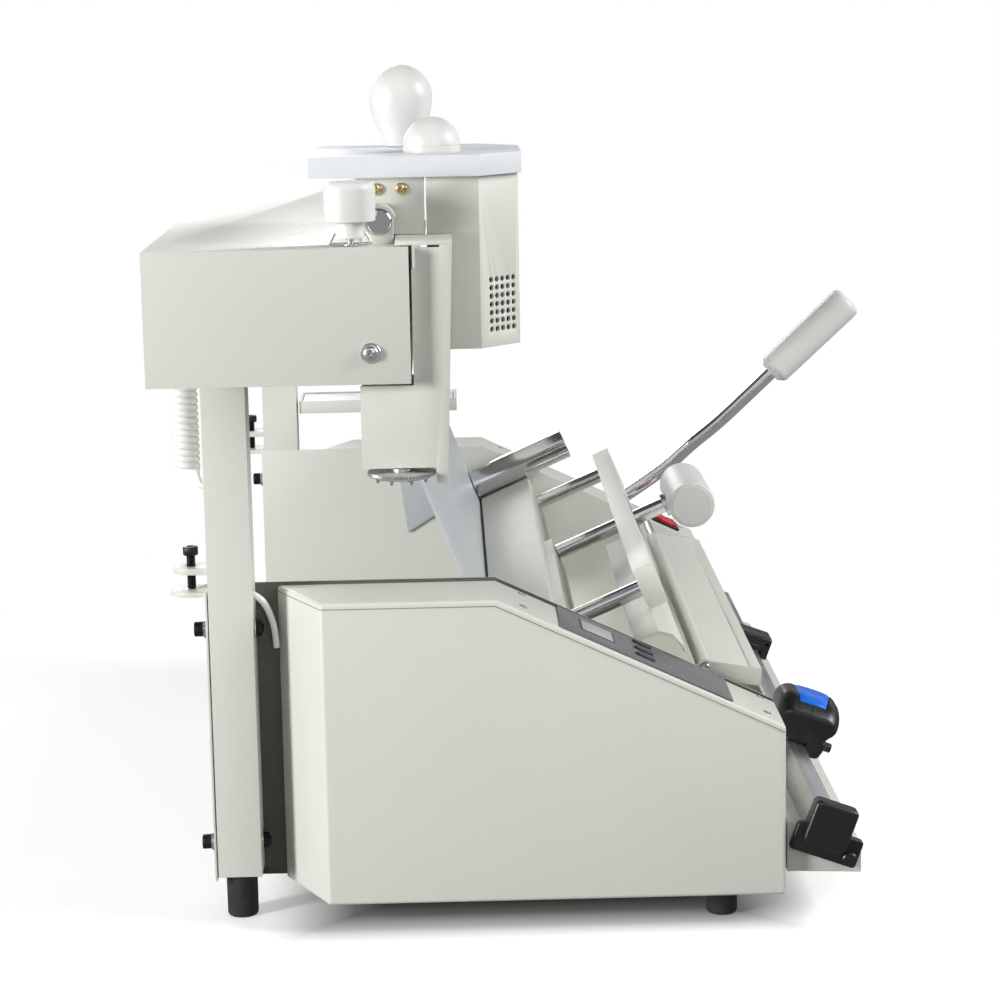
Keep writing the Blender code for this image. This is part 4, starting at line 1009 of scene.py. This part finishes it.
def floor_look():
    """White, with a painted contact shadow under the machine and just around it. Only the camera sees the
    bright paper; other rays see an even glow in its place, which stands in for bounce light.
    """
    paint = Paint("floor_look", Roughness=1.0)
    paint.set("Specular IOR Level", 0.0)
    place = paint.add("ShaderNodeNewGeometry").outputs["Position"]
    split = paint.add("ShaderNodeSeparateXYZ", Vector=place)
    shadow_x, shadow_y = (-HOUSING_OUTER, HOUSING_OUTER), (FRONT_Y, 106.0)
    gaps = []
    for axis, shift, (low, high) in (("X", SHIFT.x, shadow_x), ("Y", SHIFT.y, shadow_y)):
        middle, half = (shift + (low + high) / 2) * MM, (high - low) / 2 * MM
        offset = paint.math("ABSOLUTE", paint.math("SUBTRACT", split.outputs[axis], middle))
        gaps.append(paint.math("SUBTRACT", offset, half))
    corner = [paint.math("MAXIMUM", gap, 0.0) for gap in gaps]
    squares = [paint.math("MULTIPLY", gap, gap) for gap in corner]
    outside = paint.math("SQRT", paint.math("ADD", *squares))
    inside = paint.math("MINIMUM", paint.math("MAXIMUM", *gaps), 0.0)
    reach = paint.math("ADD", outside, inside)
    along_ramp = paint.math("ADD", paint.math("MULTIPLY", reach, 10.0), 0.5)
    # painted contact shadow: the floor's colour and glow darken towards the machine's footprint
    shade = paint.ramp(along_ramp, (0.0, 0.05), (0.20, 0.16), (0.40, 0.50), (0.58, 0.74), (0.72, 0.92),
                       (0.90, 1.0))
    far = paint.add("ShaderNodeMapRange", {"interpolation_type": "SMOOTHSTEP"}, Value=reach,
                    From_Min=0.03, From_Max=0.40).outputs["Result"]
    black, white = (0.0, 0.0, 0.0), (1.0, 1.0, 1.0)
    lit = paint.mix(0.94, black, shade)
    paint.set("Base Color", paint.mix(far, lit, black))
    paint.set("Emission Color", paint.mix(far, paint.mix(0.30, black, shade), white))
    paint.set("Emission Strength", 1.0)
    # an even glow that other rays see in place of the paper: painted bounce light
    bounce = paint.add("ShaderNodeEmission", Strength=0.30)
    from_camera = paint.add("ShaderNodeLightPath").outputs["Is Camera Ray"]
    seen = paint.choose(from_camera, bounce.outputs[0], paint.shader.outputs[0])
    paint.feed(paint.tree.nodes["Material Output"], "Surface", seen)
    return paint.material


def build_stage():
    mesh = bmesh.new()
    size = 30.0
    corners = [mesh.verts.new((x * size, y * size, 0)) for x, y in ((-1, -1), (1, -1), (1, 1), (-1, 1))]
    mesh.faces.new(corners)
    data = bpy.data.meshes.new("floor")
    mesh.to_mesh(data)
    mesh.free()
    floor = bpy.data.objects.new("floor", data)
    bpy.context.scene.collection.objects.link(floor)
    data.materials.append(floor_look())


def build_world():
    """White to the camera, a soft fill for the surfaces, and light and dark bands to reflect."""
    world = bpy.data.worlds.new("studio")
    bpy.context.scene.world = world
    world.use_nodes = True
    nodes = Nodes(world.node_tree)
    nodes.tree.nodes.clear()
    output = nodes.add("ShaderNodeOutputWorld")
    path = nodes.add("ShaderNodeLightPath").outputs
    seen = nodes.add("ShaderNodeBackground", Color=(1, 1, 1, 1))
    fill = nodes.add("ShaderNodeBackground", Color=(0.97, 0.985, 1.0, 1), Strength=0.22)
    coords = nodes.add("ShaderNodeTexCoord").outputs["Generated"]
    height = nodes.add("ShaderNodeSeparateXYZ", Vector=coords).outputs["Z"]
    bands = ((0.0, 0.10), (0.16, 0.12), (0.30, 0.95), (0.52, 0.90), (0.70, 0.12), (1.0, 0.08))
    tinted = [(place, (level, level, level * 1.03)) for place, level in bands]
    mirror = nodes.add("ShaderNodeBackground", Color=nodes.ramp(height, *tinted), Strength=0.8)
    glossy = nodes.choose(path["Is Glossy Ray"], fill.outputs[0], mirror.outputs[0])
    nodes.feed(output, "Surface", nodes.choose(path["Is Camera Ray"], glossy, seen.outputs[0]))


# name, azimuth in degrees (0 is the operator's side), distance, height, size, power
SOFTBOXES = (
    ("box_left", 216, 2.8, 0.75, (0.55, 1.0), 78),
    ("box_right", 345, 2.1, 1.40, (0.9, 1.2), 52),
    ("box_camera", 276, 2.4, 0.9, (0.5, 1.2), 5),
    ("box_far", 108, 2.6, 1.1, (1.2, 1.2), 24),
)
AIM_HEIGHT = 0.22


def build_lights():
    """Rectangular lamps, aimed at the machine's middle."""
    middle = SHIFT * MM
    for name, azimuth, distance, height, size, power in SOFTBOXES:
        angle = math.radians(azimuth)
        data = bpy.data.lights.new(name, "AREA")
        data.shape = "RECTANGLE"
        data.size, data.size_y = size
        data.energy = power
        lamp = bpy.data.objects.new(name, data)
        bpy.context.scene.collection.objects.link(lamp)
        lamp.location = middle + Vector((math.sin(angle) * distance, -math.cos(angle) * distance, height))
        aim = middle + Vector((0, 0, AIM_HEIGHT)) - lamp.location
        lamp.rotation_euler = aim.to_track_quat("-Z", "Y").to_euler()
        lamp.visible_camera = False


# from the clamp's middle, in metres; yaw, pitch and roll in degrees; the lens in millimetres
CAMERA_PLACE = (-1.6836, 0.0158, 0.5146)
CAMERA_TURN = (1.126, 10.735, -1.024)
CAMERA_LENS = 93.6


def build_camera():
    """A camera off the operator's left end; yaw 0 and pitch 0 look along +X."""
    data = bpy.data.cameras.new("camera")
    data.sensor_width = 36.0
    data.lens = CAMERA_LENS
    camera = bpy.data.objects.new("camera", data)
    bpy.context.scene.collection.objects.link(camera)
    yaw, pitch, roll = (math.radians(angle) for angle in CAMERA_TURN)
    ahead = Vector((math.cos(yaw) * math.cos(pitch), -math.sin(yaw) * math.cos(pitch), -math.sin(pitch)))
    side = Vector((-math.sin(yaw), -math.cos(yaw), 0))
    above = side.cross(ahead)
    right = side * math.cos(roll) + above * math.sin(roll)
    up = above * math.cos(roll) - side * math.sin(roll)
    turn = Matrix((right, up, -ahead)).transposed().to_4x4()
    camera.matrix_world = Matrix.Translation(SHIFT * MM + Vector(CAMERA_PLACE)) @ turn
    bpy.context.scene.camera = camera
    bpy.context.scene.view_settings.view_transform = "Standard"


def main():
    dress_frame()
    build_housings()
    build_egg_grip()
    build_dome_push()
    build_top_knob()
    build_shafts()
    build_clamp_screw()
    build_lever()
    build_feet()
    build_post_fasteners()
    build_cable()
    build_cutter()
    build_motor()
    build_tray_lining()
    build_stops()
    build_guide()
    build_panel_details()
    build_rocker()
    build_screws()
    build_stage()
    build_world()
    build_lights()
    build_camera()


main()
